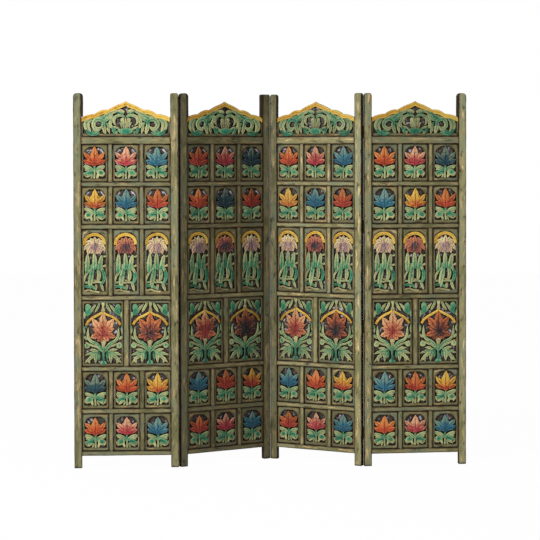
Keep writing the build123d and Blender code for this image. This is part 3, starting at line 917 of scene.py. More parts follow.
# A broad form's rings, from its rim inwards: how far in the last three lie and how much of the
# crown they rise, and for all of them their nearness to the rim and their height.
FORM_INWARD = (0.3, 0.65, 0.93)
FORM_DOME = np.array([0.55, 0.9, 1.0])
FORM_RIM = np.array([1, 1, 0.94, 0.7, 0.42, 0.25])
# Heights low on the cut sides let the paints lay dark wax with painted shade there.
FORM_HEIGHT = np.array([0, 0.72, 1, 1, 1, 1])
# How far a rim is eased, how deep a form sits in the ground and how wide a full crown is.
EASE = 0.9
SUNK = 0.3
CROWN_WIDTH = 9.0
BORDER_TOP = 6.6
# How far a hand strays from tile to tile: points, tops, widths, tones and the patterns' places.
SHAKE = 1.4
TOP_PLAY = 0.3
WIDTH_PLAY = 0.06
TONE_PLAY = 0.09
SHIFT = 300
# How finely a stroke is divided, how its widths are smoothed and where its teeth are cut.
RING_PITCH = 3.2
RING_COUNTS = (9, 30)
RINGS_PER_TOOTH = 5
FORM_PITCH = 5.6
FEWEST_PAIRS = 8
WIDTH_SMOOTHING = (0.25, 0.5, 0.25)
TEETH = (0.1, 0.95)
TOOTH_SHIFT = 0.4
STROKE_RISE = 0.5


class Cut(Enum):
    """How a stroke is cut: its widths from root to tip, its crown and its groove in millimetres."""

    LEAF = ((0.2, 0.62, 0.92, 1.0, 0.86, 0.52, 0.04), 1.5, 1.5)
    PETAL = ((0.5, 0.62, 0.8, 0.97, 0.98, 0.62, 0.04), 1.9, 1.5)
    BODY = ((0.55, 0.85, 1.0, 1.0, 0.92, 0.72, 0.12), 1.3, 0.7)
    STEM = ((1.0, 0.85, 0.8, 0.8, 0.9, 1.0), 1.4, 0.4)
    BAND = ((1.0, 1.0, 1.0), 0.8, 0.0)
    TAPER = ((0.25, 0.7, 1.0, 0.9, 0.55, 0.12), 1.2, 0.7)
    HEART = ((0.5, 0.9, 1.0, 0.9, 0.6, 0.1), 1.8, 1.2)


@dataclass(frozen=True)
class Seat:
    """Where a fret sits: its middle in the panel's millimetres, and the ground that it stands on."""

    x: float
    z: float
    ground: float
    lean: float = 0.0

    def rings(self, flat: Array, height: Array) -> Array:
        """Turn drawing points and heights above the ground into points of the panel."""
        x = self.x + flat[..., 0] + self.lean * flat[..., 1]
        return np.stack([x, self.ground - height, self.z + flat[..., 1]], axis=-1)


def shake(points: tuple[Point, ...], chance: random.Random) -> tuple[Point, ...]:
    """Move each point of a drawing a little, as a hand does from tile to tile."""
    return tuple((x + stray(chance, SHAKE), z + stray(chance, SHAKE)) for x, z in points)


def add_ribbon(
    shell: Shell,
    seat: Seat,
    rims: tuple[Array, Array],
    form: tuple[Array, float, float],
    chance: random.Random,
    slot: int,
    looped: bool = False,
) -> None:
    """Add the solid between two rims, with a shaped top, eased edges and straight sides.

    Args:
        shell: the mesh that it joins.
        seat: where the fret sits.
        rims: the left and the right rim, point by point.
        form: the height along the way, the crown and the groove, in millimetres.
        chance: the fret's own chance.
        slot: which material it takes.
        looped: whether the ends join.
    """
    left, right = rims
    top, crown, groove = form
    share = (CUT_ACROSS + 1) / 2
    flat = right[:, None] * share[None, :, None] + left[:, None] * (1 - share)[None, :, None]
    width = np.hypot(*(right - left).T)
    domed = np.minimum(1, width / CROWN_WIDTH)[:, None] * (crown * CUT_DOME - groove * CUT_GROOVE)
    height = (top[:, None] - EASE * (1 - CUT_TOP)) * CUT_LIFT + domed
    height = np.where(CUT_LIFT > 0, height, -SUNK)
    steps = np.hypot(*np.diff((left + right) / 2, axis=0).T)
    along = np.concatenate([[0], np.cumsum(steps)])[:, None]
    across = CUT_ACROSS * width[:, None] / 2
    paint = layered(along / max(along[-1, 0], 1e-6), np.abs(CUT_ACROSS), CUT_HEIGHT)
    stroke = layered(along + SHIFT * chance.random(), across, SHIFT * chance.random())
    shell.add(seat.rings(flat, height), paint, stroke, stray(chance, TONE_PLAY), slot, looped)


@dataclass(frozen=True)
class Stroke:
    """One carved stroke of a fret: its midline from root to tip, in millimetres from the middle."""

    line: tuple[Point, ...]
    width: float
    cut: Cut = Cut.LEAF
    top: float = 8.0
    paint: Paint = Paint.LEAF
    teeth: int = 0
    bite: float = 0.3
    twin: bool = True

    def mirrored(self) -> "Stroke":
        """The same stroke on the other side."""
        return replace(self, line=tuple((-x, z) for x, z in self.line))

    def rims(self, chance: random.Random) -> tuple[Array, Array]:
        """Draw the left and the right rim, a little unlike the last time, as a hand would.

        Args:
            chance: the fret's own chance.

        Returns:
            The points of each rim.
        """
        shaken = shake(self.line, chance)
        span = sum(math.dist(a, b) for a, b in zip(shaken, shaken[1:]))
        fewest, most = RING_COUNTS
        count = int(min(most, max(fewest, span / RING_PITCH)))
        line = smooth_line(shaken, max(count, RINGS_PER_TOOTH * self.teeth + 1))
        t = np.linspace(0, 1, len(line))
        widths = self.cut.value[0]
        share = np.interp(t, np.linspace(0, 1, len(widths)), widths)
        share = np.convolve(np.pad(share, 1, mode="edge"), WIDTH_SMOOTHING, mode="valid")
        half = 0.5 * self.width * chance.uniform(1 - WIDTH_PLAY, 1 + WIDTH_PLAY) * share
        left, right = half.copy(), half.copy()
        if self.teeth:
            for rim, shift in ((left, 0.0), (right, TOOTH_SHIFT)):
                saw = (t * self.teeth + shift) % 1.0
                rim *= 1 - self.bite * (1 - saw) * (t > TEETH[0]) * (t < TEETH[1])
        left, right = (np.maximum(rim, NARROWEST)[:, None] for rim in (left, right))
        normal = left_of(line)
        return line + normal * left, line - normal * right

    def carve(self, shell: Shell, seat: Seat, chance: random.Random, slot: int) -> None:
        """Carve the stroke.

        Args:
            shell: the mesh that it joins.
            seat: where the fret sits.
            chance: the fret's own chance.
            slot: which material it takes.
        """
        rims = self.rims(chance)
        _, crown, groove = self.cut.value
        rise = np.sin(np.linspace(0, math.pi, len(rims[0])))
        top = self.top + stray(chance, TOP_PLAY) + STROKE_RISE * rise
        add_ribbon(shell, seat, rims, (top, crown, groove), chance, slot)


@dataclass(frozen=True)
class Patch:
    """A broad carved form of a fret: its outline, which each ray from its middle crosses once."""

    outline: tuple[Point, ...]
    top: float = 7.6
    paint: Paint = Paint.LEAF
    root: Point = (0, 0)
    crown: float = 1.2
    twin: bool = True

    def mirrored(self) -> "Patch":
        """The same form on the other side."""
        turned = tuple((-x, z) for x, z in self.outline)
        return replace(self, outline=turned, root=(-self.root[0], self.root[1]))

    def carve(self, shell: Shell, seat: Seat, chance: random.Random, slot: int) -> None:
        """Carve the form: straight cut sides, an eased rim and a low crown.

        Args:
            shell: the mesh that it joins.
            seat: where the fret sits.
            chance: the fret's own chance.
            slot: which material it takes.
        """
        shaken = shake(self.outline, chance)
        round_it = sum(math.dist(a, b) for a, b in zip(shaken, shaken[1:] + shaken[:1]))
        pairs = max(FEWEST_PAIRS, round(round_it / FORM_PITCH))
        loop = smooth_line(shaken, 2 * pairs, closed=True)
        middle = (loop.min(axis=0) + loop.max(axis=0)) / 2
        spoke = middle - loop
        far = np.hypot(*spoke.T)[:, None]
        shares = [0 * far, 0 * far, EASE / far, *(share + 0 * far for share in FORM_INWARD)]
        flat = np.stack([loop + spoke * np.minimum(share, FORM_INWARD[-1]) for share in shares])
        top = self.top + stray(chance, TOP_PLAY)
        levels = [-SUNK, top - EASE, top, *(top + self.crown * FORM_DOME)]
        height = np.repeat(np.array(levels)[:, None], len(loop), axis=1)
        away = np.hypot(*(flat - np.array(self.root)).transpose(2, 0, 1))
        paint = layered(away / away.max(), FORM_RIM[:, None], FORM_HEIGHT[:, None])
        stroke = layered(away + SHIFT * chance.random(), flat[:, :, 0], SHIFT * chance.random())
        shell.add(seat.rings(flat, height), paint, stroke, stray(chance, TONE_PLAY), slot)


def rectangle_loop(half_x: float, half_z: float, step: float) -> Array:
    """Draw points round a rectangle, its corners among them.

    Args:
        half_x: half of its width.
        half_z: half of its height.
        step: how far apart the points are, at most about.

    Returns:
        The points, anticlockwise from the lower left.
    """
    corners = ((-half_x, -half_z), (half_x, -half_z), (half_x, half_z), (-half_x, half_z))
    runs = []
    for a, b in zip(corners, corners[1:] + corners[:1]):
        count = max(3, round(math.dist(a, b) / step))
        runs.append(np.linspace(a, b, count, endpoint=False))
    return np.vstack(runs)


def cast(window: Array, loop: Array) -> Array:
    """Find where the rays from the middle to a loop's points cross a window's outline.

    Args:
        window: the window's outline, round the middle.
        loop: the loop's points.

    Returns:
        One crossing for each point of the loop.
    """
    angles = np.arctan2(window[:, 1], window[:, 0])
    order = np.argsort(angles)
    reach = np.hypot(*window.T)[order]
    rays = np.arctan2(loop[:, 1], loop[:, 0])
    far = np.interp(rays, angles[order], reach, period=2 * math.pi)
    return np.stack([far * np.cos(rays), far * np.sin(rays)], axis=1)


# --- The frets' drawings, in millimetres from the middle of each tile ---

LOTUS = (
    Patch(
        ((10, -40), (19, -33), (33, -31), (43, -37), (49, -48), (46, -59), (35, -65), (23, -63), (15, -75))
        + ((8, -70), (12, -54)),
        7.3, Paint.PALE, (10, -36), twin=False,
    ),
    Patch(
        ((30, -34), (41, -38), (45, -47), (41, -57), (30, -60), (19, -54), (16, -45), (20, -37)),
        8.2, Paint.TEAL, (30, -46), twin=False,
    ),
    Stroke(((-8, -40), (-20, -33), (-33, -31), (-46, -37)), 15, Cut.BODY, 7.6, Paint.LEAF, twin=False),
    Stroke(((-10, -44), (-28, -46), (-50, -56)), 21, Cut.BODY, 8.0, Paint.TEAL, twin=False),
    Stroke(((-9, -50), (-24, -58), (-40, -70)), 15, Cut.BODY, 7.5, Paint.PALE, twin=False),
    Stroke(((-7, -54), (-12, -66), (-17, -77)), 9, Cut.BODY, 7.1, Paint.PALE, twin=False),
    Stroke(((50, -44), (48, -56), (38, -68)), 9, Cut.BODY, 7.0, Paint.CREAM),
    Stroke(((51, -15), (42, -25), (29, -29)), 10, Cut.BODY, 7.4, Paint.PALE),
    Stroke(((1, -43), (12, -30), (28, -21), (51, -12)), 15, Cut.BODY, 7.7, Paint.LEAF),
    Stroke(((0, -8), (0, -40), (0, -77)), 10, Cut.STEM, 8.2, Paint.LEAF, twin=False),
    Patch(
        ((0, -14), (16, -8), (31, 2), (37, 15), (29, 28), (17, 37), (0, 42), (-17, 37), (-29, 28), (-37, 15))
        + ((-31, 2), (-16, -8)),
        6.6, Paint.PETAL, (0, 0), twin=False,
    ),
    Stroke(((2, 4), (12, 28), (22, 47)), 16, Cut.PETAL, 7.4, Paint.PETAL),
    Stroke(((2, 0), (26, 24), (52, 53)), 26, Cut.PETAL, 8.0, Paint.PETAL, teeth=2, bite=0.2),
    Stroke(((0, -6), (27, 3), (55, 15)), 24, Cut.PETAL, 8.6, Paint.PETAL, teeth=2, bite=0.12),
    Stroke(((0, -14), (0, 36), (0, 82)), 39, Cut.PETAL, 8.9, Paint.PETAL, teeth=3, bite=0.14, twin=False),
)

GLINTS = (
    Stroke(((-50, 1), (-37, -10), (-14, -18)), 5, Cut.TAPER, 1.6, Paint.CHALK),
    Patch(
        ((27, 66), (38, 68), (47, 60), (50, 48), (42, 47), (34, 56)),
        0.9, Paint.CHALK, (40, 56), crown=0.2,
    ),
)

IRIS = (
    Stroke(
        ((-51, 84), (-47, 110), (-30, 129), (-2, 137), (25, 130), (43, 111), (48, 86)),
        15, Cut.BAND, 8.2, Paint.GOLD, twin=False,
    ),
    Stroke(
        ((-52, -99), (-30, -97), (-6, -99), (14, -97), (32, -101)),
        11, Cut.STEM, 7.0, Paint.PALE, twin=False,
    ),
    Stroke(((5, -108), (4, -136)), 14, Cut.BODY, 7.2, Paint.CREAM, twin=False),
    Stroke(((27, -98), (33, -120), (42, -143)), 15, Cut.BODY, 7.4, Paint.PALE, twin=False),
    Stroke(((-54, -119), (-32, -116), (-12, -122), (4, -136)), 15, Cut.BODY, 7.6, Paint.TEAL, twin=False),
    Stroke(((-54, -141), (-30, -136), (-8, -142), (20, -146)), 10, Cut.STEM, 6.9, Paint.CREAM, twin=False),
    Stroke(((-52, -4), (-42, -3), (-32, -8)), 11, Cut.STEM, 6.9, Paint.PALE, twin=False),
    Stroke(((28, -14), (40, -19), (53, -15)), 12, Cut.STEM, 6.9, Paint.CREAM, twin=False),
    Stroke(((34, 30), (44, 27), (53, 32)), 9, Cut.STEM, 6.9, Paint.PALE, twin=False),
    Stroke(((24, -20), (35, -34), (45, -60)), 15, Cut.BODY, 7.2, Paint.PALE, twin=False),
    Stroke(((36, -36), (44, -62), (42, -86), (30, -112)), 18, Cut.BODY, 7.6, Paint.TEAL, twin=False),
    Stroke(((-14, -28), (-32, -44), (-49, -72), (-52, -96)), 11, Cut.BODY, 7.2, Paint.PALE, twin=False),
    Stroke(((-12, -34), (-18, -66), (-24, -100), (-24, -130)), 25, Cut.BODY, 7.8, Paint.LEAF, twin=False),
    Stroke(((13, -34), (19, -62), (12, -97)), 20, Cut.BODY, 7.8, Paint.PALE, twin=False),
    Stroke(((-8, -88), (8, -90)), 9, Cut.STEM, 7.0, Paint.CREAM, twin=False),
    Stroke(((-40, -52), (-38, -8), (-36, 43)), 24, Cut.BODY, 7.8, Paint.LEAF, twin=False),
    Patch(
        ((-22, -12), (-8, -8), (14, -6), (33, -12), (35, -30), (24, -44), (6, -36), (-6, -40), (-22, -34)),
        7.0, Paint.TEAL, (10, -22), twin=False,
    ),
    Stroke(((18, -38), (26, 0), (32, 36)), 24, Cut.BODY, 8.0, Paint.LEAF, twin=False),
    Stroke(((-4, -38), (-2, 0), (-3, 48)), 23, Cut.BODY, 8.4, Paint.LEAF, twin=False),
    Patch(
        ((-36, 52), (-45, 74), (-37, 100), (-15, 115), (9, 115), (33, 101), (42, 76))
        + ((34, 54), (14, 42), (-14, 42)),
        6.8, Paint.PETAL, (0, 70), crown=1.8, twin=False,
    ),
    Stroke(((-4, 80), (-26, 97), (-47, 101)), 24, Cut.PETAL, 7.4, Paint.PETAL, twin=False),
    Stroke(((4, 80), (25, 98), (44, 98)), 24, Cut.PETAL, 7.5, Paint.PETAL, twin=False),
    Stroke(((-6, 86), (-32, 84), (-53, 60)), 24, Cut.PETAL, 7.7, Paint.PETAL, teeth=2, bite=0.2, twin=False),
    Stroke(((6, 86), (32, 82), (49, 52)), 23, Cut.PETAL, 7.8, Paint.PETAL, teeth=2, bite=0.2, twin=False),
    Stroke(((-3, 76), (-14, 100), (-23, 121)), 24, Cut.PETAL, 8.0, Paint.PETAL, twin=False),
    Stroke(((3, 76), (14, 100), (22, 119)), 23, Cut.PETAL, 8.1, Paint.PETAL, twin=False),
    Stroke(((-6, 86), (-26, 66), (-35, 36)), 24, Cut.PETAL, 8.2, Paint.PETAL, teeth=2, bite=0.2, twin=False),
    Stroke(((6, 86), (22, 66), (26, 37)), 22, Cut.PETAL, 8.2, Paint.PETAL, teeth=2, bite=0.2, twin=False),
    Stroke(((-1, 62), (-1, 98), (0, 128)), 25, Cut.PETAL, 8.7, Paint.PETAL, twin=False),
    Stroke(((-8, 92), (-18, 72), (-20, 50)), 11, Cut.HEART, 9.0, Paint.HEART, twin=False),
    Stroke(((9, 94), (15, 72), (14, 50)), 13, Cut.HEART, 9.0, Paint.HEART, twin=False),
    Stroke(((1, 98), (-2, 72), (-5, 42)), 15, Cut.HEART, 9.4, Paint.HEART, twin=False),
)

BLOSSOM = (
    Stroke(((84, 40), (73, 58), (56, 73), (37, 84), (18, 93), (0, 103)), 11.5, Cut.BAND, 8.0, Paint.GOLD),
    Patch(
        ((-8, 149), (8, 149), (5, 128), (10, 110), (0, 106), (-10, 110), (-5, 128)),
        7.6, Paint.CREAM, (0, 108), twin=False,
    ),
    Stroke(((16, 149), (24, 128), (40, 102)), 13, Cut.BODY, 7.6, Paint.PALE),
    Stroke(((60, 98), (52, 118), (32, 143)), 17, Cut.LEAF, 7.5, Paint.PALE, teeth=3),
    Patch(
        ((52, 106), (58, 120), (60, 134), (70, 143), (82, 140), (86, 124), (84, 108))
        + ((88, 94), (80, 84), (66, 92)),
        7.9, Paint.TEAL, (66, 98),
    ),
    Stroke(((92, 72), (89, 88), (90, 106)), 10, Cut.BODY, 7.0, Paint.PALE),
    Stroke(((93, -14), (84, -24), (76, -32)), 13, Cut.BODY, 7.0, Paint.PALE),
    Stroke(((92, 34), (90, 14), (92, -4)), 9, Cut.BODY, 6.9, Paint.LEAF),
    Patch(
        ((64, -54), (74, -46), (86, -48), (92, -60), (87, -72), (74, -74), (65, -66)),
        7.2, Paint.LEAF, (80, -58),
    ),
    Stroke(((58, -118), (70, -130), (64, -149)), 17, Cut.LEAF, 7.2, Paint.PALE),
    Stroke(((18, -84), (33, -94), (36, -114), (38, -147)), 26, Cut.LEAF, 7.4, Paint.LEAF, teeth=4),
    Stroke(((24, -90), (46, -82), (70, -80)), 19, Cut.LEAF, 7.6, Paint.PALE, teeth=3),
    Stroke(((32, -94), (62, -98), (93, -108)), 18, Cut.LEAF, 7.5, Paint.LEAF, teeth=3),
    Stroke(((30, -96), (58, -116), (90, -147)), 22, Cut.LEAF, 7.8, Paint.PALE, teeth=4),
    Stroke(((20, -90), (20, -110), (22, -132)), 13, Cut.LEAF, 8.0, Paint.TEAL),
    Stroke(((0, -146), (0, -110), (0, -70)), 12, Cut.STEM, 8.2, Paint.TEAL, twin=False),
    Patch(
        ((-12, -138), (0, -133), (12, -138), (14, -151), (-14, -151)),
        8.0, Paint.TEAL, (0, -150), twin=False,
    ),
    Stroke(((4, -92), (30, -68), (56, -58), (88, -42)), 11, Cut.BODY, 7.3, Paint.PALE),
    Stroke(((5, -80), (30, -52), (58, -38), (73, -14), (74, 30)), 15, Cut.BODY, 7.8, Paint.LEAF),
    Patch(
        ((-13, -38), (0, -33), (13, -38), (9, -54), (6, -76), (-6, -76), (-9, -54)),
        7.7, Paint.CREAM, (0, -72), twin=False,
    ),
    Patch(
        ((0, -30), (20, -28), (36, -20), (43, -6), (40, 14), (30, 32), (14, 44), (-14, 44))
        + ((-30, 32), (-40, 14), (-43, -6), (-36, -20), (-20, -28)),
        6.6, Paint.PETAL, (0, 0), twin=False,
    ),
    Stroke(((2, 4), (28, 13), (55, 24)), 24, Cut.PETAL, 7.4, Paint.PETAL, teeth=2, bite=0.25),
    Stroke(((2, -8), (14, -24), (28, -38)), 32, Cut.PETAL, 8.0, Paint.PETAL, teeth=3, bite=0.25),
    Stroke(((2, -6), (30, -10), (62, -19)), 36, Cut.PETAL, 8.2, Paint.PETAL, teeth=4, bite=0.28),
    Stroke(((2, -6), (22, 28), (53, 71)), 41, Cut.PETAL, 8.4, Paint.PETAL, teeth=4, bite=0.26),
    Stroke(((0, -14), (0, 42), (0, 102)), 46, Cut.PETAL, 9.0, Paint.PETAL, teeth=5, bite=0.22, twin=False),
)

CREST = (
    Stroke(((166, 88), (184, 74), (190, 52), (182, 32), (168, 20)), 31, Cut.BODY, 7.6, Paint.PALE),
    Stroke(((192, 34), (176, 17), (150, 12), (124, 20)), 19, Cut.BODY, 8.2, Paint.TEAL),
    Stroke(((100, 100), (122, 97), (140, 89), (156, 82)), 11, Cut.BODY, 7.0, Paint.PALE),
    Stroke(((164, 24), (152, 30), (140, 28), (122, 36)), 13, Cut.BODY, 7.5, Paint.LEAF),
    Stroke(((112, 66), (107, 46), (98, 12)), 25, Cut.BODY, 7.4, Paint.PALE, teeth=3),
    Stroke(((88, 62), (84, 38), (78, 12)), 15, Cut.LEAF, 7.0, Paint.PALE),
    Stroke(
        ((108, 54), (110, 74), (126, 85), (145, 81), (156, 64), (151, 46), (134, 38), (118, 46), (112, 58)),
        21, Cut.BODY, 8.2, Paint.LEAF,
    ),
    Stroke(((118, 84), (98, 98), (74, 114), (52, 124), (34, 128)), 25, Cut.BODY, 7.8, Paint.LEAF, teeth=3),
    Stroke(((108, 78), (92, 82), (74, 96), (62, 108)), 15, Cut.BODY, 7.4, Paint.LEAF),
    Stroke(((58, 104), (66, 86), (74, 66), (70, 48), (60, 36)), 22, Cut.BODY, 8.0, Paint.PALE, teeth=2),
    Stroke(((98, 66), (84, 60), (66, 54)), 13, Cut.BODY, 7.4, Paint.LEAF),
    Stroke(((70, 44), (58, 34), (52, 10)), 21, Cut.LEAF, 8.3, Paint.TEAL, teeth=2),
    Stroke(
        ((4, 96), (18, 104), (34, 104), (50, 96), (57, 80), (54, 64), (44, 54)),
        14, Cut.BODY, 8.5, Paint.PALE,
    ),
    Stroke(((40, 122), (24, 108), (3, 94)), 18, Cut.BODY, 7.9, Paint.TEAL),
    Patch(
        ((4, 122), (12, 130), (26, 134), (40, 128), (42, 116), (30, 112), (16, 116), (10, 112)),
        8.0, Paint.PALE, (20, 112),
    ),
    Patch(((6, 90), (16, 92), (26, 86), (24, 70), (26, 58), (18, 50), (8, 44)), 7.6, Paint.LEAF, (8, 44)),
    Stroke(((9, 40), (9, 62), (12, 92)), 8, Cut.BODY, 8.6, Paint.CREAM),
    Stroke(((18, 40), (20, 56), (30, 70)), 8, Cut.BODY, 8.2, Paint.CREAM),
    Stroke(((0, 34), (0, 62), (0, 96)), 9, Cut.BODY, 9.2, Paint.PALE, twin=False),
    Stroke(((30, 36), (46, 44), (62, 50)), 11, Cut.BODY, 7.6, Paint.PALE),
    Stroke(((36, 30), (44, 22), (42, 8)), 12, Cut.LEAF, 7.3, Paint.LEAF),
    Patch(
        ((-38, 36), (-20, 40), (0, 44), (20, 40), (38, 36), (33, 22), (16, 12), (0, 9), (-16, 12), (-33, 22)),
        8.6, Paint.TEAL, (0, 20), twin=False,
    ),
)


def squat(forms: tuple[Stroke | Patch, ...], share: float) -> tuple[Stroke | Patch, ...]:
    """Draw the petals lower, as on the broad, low flowers of the lowest row.

    Args:
        forms: a drawing.
        share: how much of its height a petal keeps above the middle of the tile.

    Returns:
        The changed drawing.
    """
    lowered = []
    for form in forms:
        if form.paint is Paint.PETAL:
            name = "line" if isinstance(form, Stroke) else "outline"
            points = tuple((x, z * share if z > 0 else z) for x, z in getattr(form, name))
            form = replace(form, **{name: points})
        lowered.append(form)
    return tuple(lowered)


@dataclass(frozen=True)
class FretStyle:
    """A kind of fret: its drawing, the border round its window and the shape of that window.

    The window has straight sides, or an arch with lobes over a scalloped foot.  The petals take
    their colours by their distance from bloom_root, the tip's at bloom_reach, and turn_share is
    the chance that a fret is mirrored.
    """

    forms: tuple[Stroke | Patch, ...]
    border: float
    foot: float
    head: float
    arch: float = 0.0
    squareness: float = 0.55
    lobes: int = 3
    lobe_depth: float = 0.15
    scallops: int = 3
    scallop: float = 3.0
    outline_pitch: float = 5.0
    window_pitch: float = 3.0
    arch_points: int = 40
    side_points: int = 30
    outline_play: float = 0.5
    drawing_play: float = 2.5
    lean_play: float = 0.015
    bloom_root: float = 0.0
    bloom_reach: float = 90.0
    bloom_squeeze: float = 1.0
    turn_share: float = 0.0

    def blend(self, shell: Shell, seat: Seat) -> None:
        """Let the last form take its colours from its place in the whole flower.

        Args:
            shell: the mesh that the form was added to last.
            seat: where the fret sits.
        """
        across = shell.points[-1][:, 0] - seat.x
        up = shell.points[-1][:, 2] - seat.z - self.bloom_root
        shell.values["paint"][-1][:, 0] = np.hypot(self.bloom_squeeze * across, up) / self.bloom_reach

    def window(self, half_x: float, half_z: float) -> Array:
        """Draw the outline of the window.

        Args:
            half_x: half of the fret's width.
            half_z: half of its height.

        Returns:
            The points, round the middle of the fret.
        """
        side, low, high = half_x - self.border, -half_z + self.foot, half_z - self.head
        if not self.arch:
            return rectangle_loop(side, (high - low) / 2, self.window_pitch) + (0, (high + low) / 2)
        turn = np.linspace(0, math.pi, self.arch_points)
        spring = high - self.arch
        rise = self.arch * (1 - self.lobe_depth * np.abs(np.sin(self.lobes * turn)))
        head = np.stack([side * np.cos(turn), spring + rise * np.sin(turn) ** self.squareness], axis=1)
        across = np.linspace(-side, side, self.arch_points)
        foot = low + self.scallop * np.abs(np.sin(across / side * self.scallops / 2 * math.pi))
        left = np.linspace((-side, spring), (-side, low), self.side_points)[1:-1]
        right = np.linspace((side, low), (side, spring), self.side_points)[1:-1]
        return np.vstack([head, left, np.stack([across, foot], axis=1), right])

    def carve(
        self, shell: Shell, seat: Seat, size: Point, slots: dict[Paint, int], chance: random.Random
    ) -> None:
        """Cut the whole fret: its border and every form.

        Args:
            shell: the mesh that it joins.
            seat: where it sits.
            size: its width and height in millimetres.
            slots: the material of each paint.
            chance: the fret's own chance.
        """
        half_x, half_z = size[0] / 2, size[1] / 2
        outer = rectangle_loop(half_x, half_z, self.outline_pitch)
        inner = cast(self.window(half_x, half_z), outer)
        inner += np.array([[stray(chance, self.outline_play) for _ in range(2)] for _ in inner])
        top = np.full(len(outer), BORDER_TOP)
        add_ribbon(shell, seat, (outer, inner), (top, 0.0, 0.0), chance, slots[Paint.BORDER], looped=True)
        x = seat.x + stray(chance, self.drawing_play)
        loose = replace(seat, x=x, lean=stray(chance, self.lean_play))
        turned = chance.random() < self.turn_share
        for form in self.forms:
            one, other = (form.mirrored(), form) if turned else (form, form.mirrored())
            for side in (one, other)[: 1 + form.twin]:
                side.carve(shell, loose, chance, slots[form.paint])
                if form.paint is Paint.PETAL:
                    self.blend(shell, loose)


LOTUS_FRET = FretStyle(
    LOTUS, 12.0, 16.0, 7.0, 50, 1.25, bloom_root=-4.0, bloom_reach=68.0, bloom_squeeze=0.45, turn_share=0.4
)
LOW_FRET = replace(LOTUS_FRET, forms=squat(LOTUS, 0.88), head=11.0, arch=46.0, bloom_reach=62.0)
CHALKY_FRET = replace(LOTUS_FRET, forms=GLINTS + LOTUS)
IRIS_FRET = FretStyle(IRIS, 14.0, 21.0, 13.0, 52, 0.9, bloom_root=62.0, bloom_reach=64.0)
BLOSSOM_FRET = FretStyle(BLOSSOM, 12.0, 16.0, 17.0)


# --- Panels ---


class Workshop:
    """Every finish, mixed once and shared by the four panels."""

    def __init__(self) -> None:
        """Mix the finishes."""
        self.frame_paint = ChalkPaint().material()
        self.boards = GroundStainAndShade().material()
        self.common = {
            Paint.BORDER: ChalkPaint(
                "rubbed_chalk_paint_on_carved_borders", sage="7b7752", blue_grey="747a60", tan="9a7f52"
            ).material(),
        }
        self.common.update({paint: finish.material() for paint, finish in FOLIAGE.items()})
        self.blooms = {bloom: bloom.value.material() for bloom in Bloom}
        self.hinge = Ironmongery("painted_pressed_steel", "6a675c", "6f6f52", 0.42).material()
        self.screw = Ironmongery("waxed_turned_steel", "7c776a", "6a6648", 0.6).material()

    def carving(self, petal: Bloom, heart: Bloom) -> tuple[list[bpy.types.Material], dict[Paint, int]]:
        """The materials of one fret and the slot of each paint."""
        chosen = {**self.common, Paint.PETAL: self.blooms[petal], Paint.HEART: self.blooms[heart]}
        return list(chosen.values()), {paint: slot for slot, paint in enumerate(chosen)}


TOP_ROW = {
    1: (Bloom.ORANGE, Bloom.CRIMSON, Bloom.BLUE),
    2: (Bloom.RED, Bloom.CRIMSON, Bloom.NIGHT),
    3: (Bloom.ORANGE, Bloom.CRIMSON, Bloom.BLUE),
    4: (Bloom.ORANGE, Bloom.CRIMSON, Bloom.NIGHT),
}
SECOND_ROW = {
    1: (Bloom.YELLOW, Bloom.BLUE, Bloom.RED),
    2: (Bloom.ORANGE, Bloom.NIGHT, Bloom.RED),
    3: (Bloom.AMBER, Bloom.BLUE, Bloom.RED),
    4: (Bloom.BLUE, Bloom.YELLOW, Bloom.RED),
}
FIFTH_ROW = {
    1: (Bloom.NIGHT, Bloom.ORANGE, Bloom.YELLOW),
    2: (Bloom.BLUE, Bloom.RED, Bloom.YELLOW),
    3: (Bloom.BLUE, Bloom.ORANGE, Bloom.YELLOW),
    4: (Bloom.BLUE, Bloom.RED, Bloom.YELLOW),
}
BOTTOM_ROW = {
    1: (Bloom.ORANGE, Bloom.CRIMSON, Bloom.BLUE),
    2: (Bloom.RED, Bloom.CRIMSON, Bloom.BLUE),
    3: (Bloom.RED, Bloom.CRIMSON, Bloom.BLUE),
    4: (Bloom.ORANGE, Bloom.CRIMSON, Bloom.BLUE),
}
IRIS_HEARTS = (
    (Bloom.PEACH_IRIS, Bloom.PURPLE_HEART),
    (Bloom.RED_IRIS, Bloom.SLATE_HEART),
    (Bloom.PEACH_IRIS, Bloom.PURPLE_HEART),
)
BLOSSOMS = (Bloom.PEACH_BLOSSOM, Bloom.EMBER_BLOSSOM)

# How light the carving and the boards of each panel are drawn, then its rails and its crest:
# partly the paint's own tone and partly painted shade for how each panel stands to the light.
PANEL_TONES_AND_SHADE = (0.61, 0.34, 0.51, 0.65)
RAIL_TONES_AND_SHADE = (0.47, 0.27, 0.63, 0.49)
CREST_TONES_AND_SHADE = (0.61, 0.46, 0.41, 0.46)
# For each post from the left: how light it is drawn, partly its own tone and partly painted shade,
# how far its head steps out and how round it is.
POST_TONES_AND_SHADE = (0.54, 0.54, 0.27, 0.25, 0.27, 0.69, 0.65, 0.75)
HEAD_STEPS = (10.0, 0.0, 8.0, 11.0, 0.0, 0.0, 0.0, 9.0)
TOP_RADII = (16.0, 9.0, 18.0, 8.0, 13.0, 10.0, 14.0, 17.0)
# The panels with chalky spots in their upper rows, and the planks behind a cell, by the row's cells.
CHALKY_PANELS = (1, 2)
PLANKS = {2: 3, 3: 2}
# How many points lie along the crest's edge, along its straight base and up each of its sides.
CREST_POINTS, BASE_POINTS, SIDE_POINTS = 121, 60, 20


@dataclass(frozen=True)
class Row:
    """A row of cells: its node, its fret, its floor, its height, its muntins and how many cells."""

    node: str
    style: FretStyle
    floor: float
    height: float
    muntin: float
    cells: int


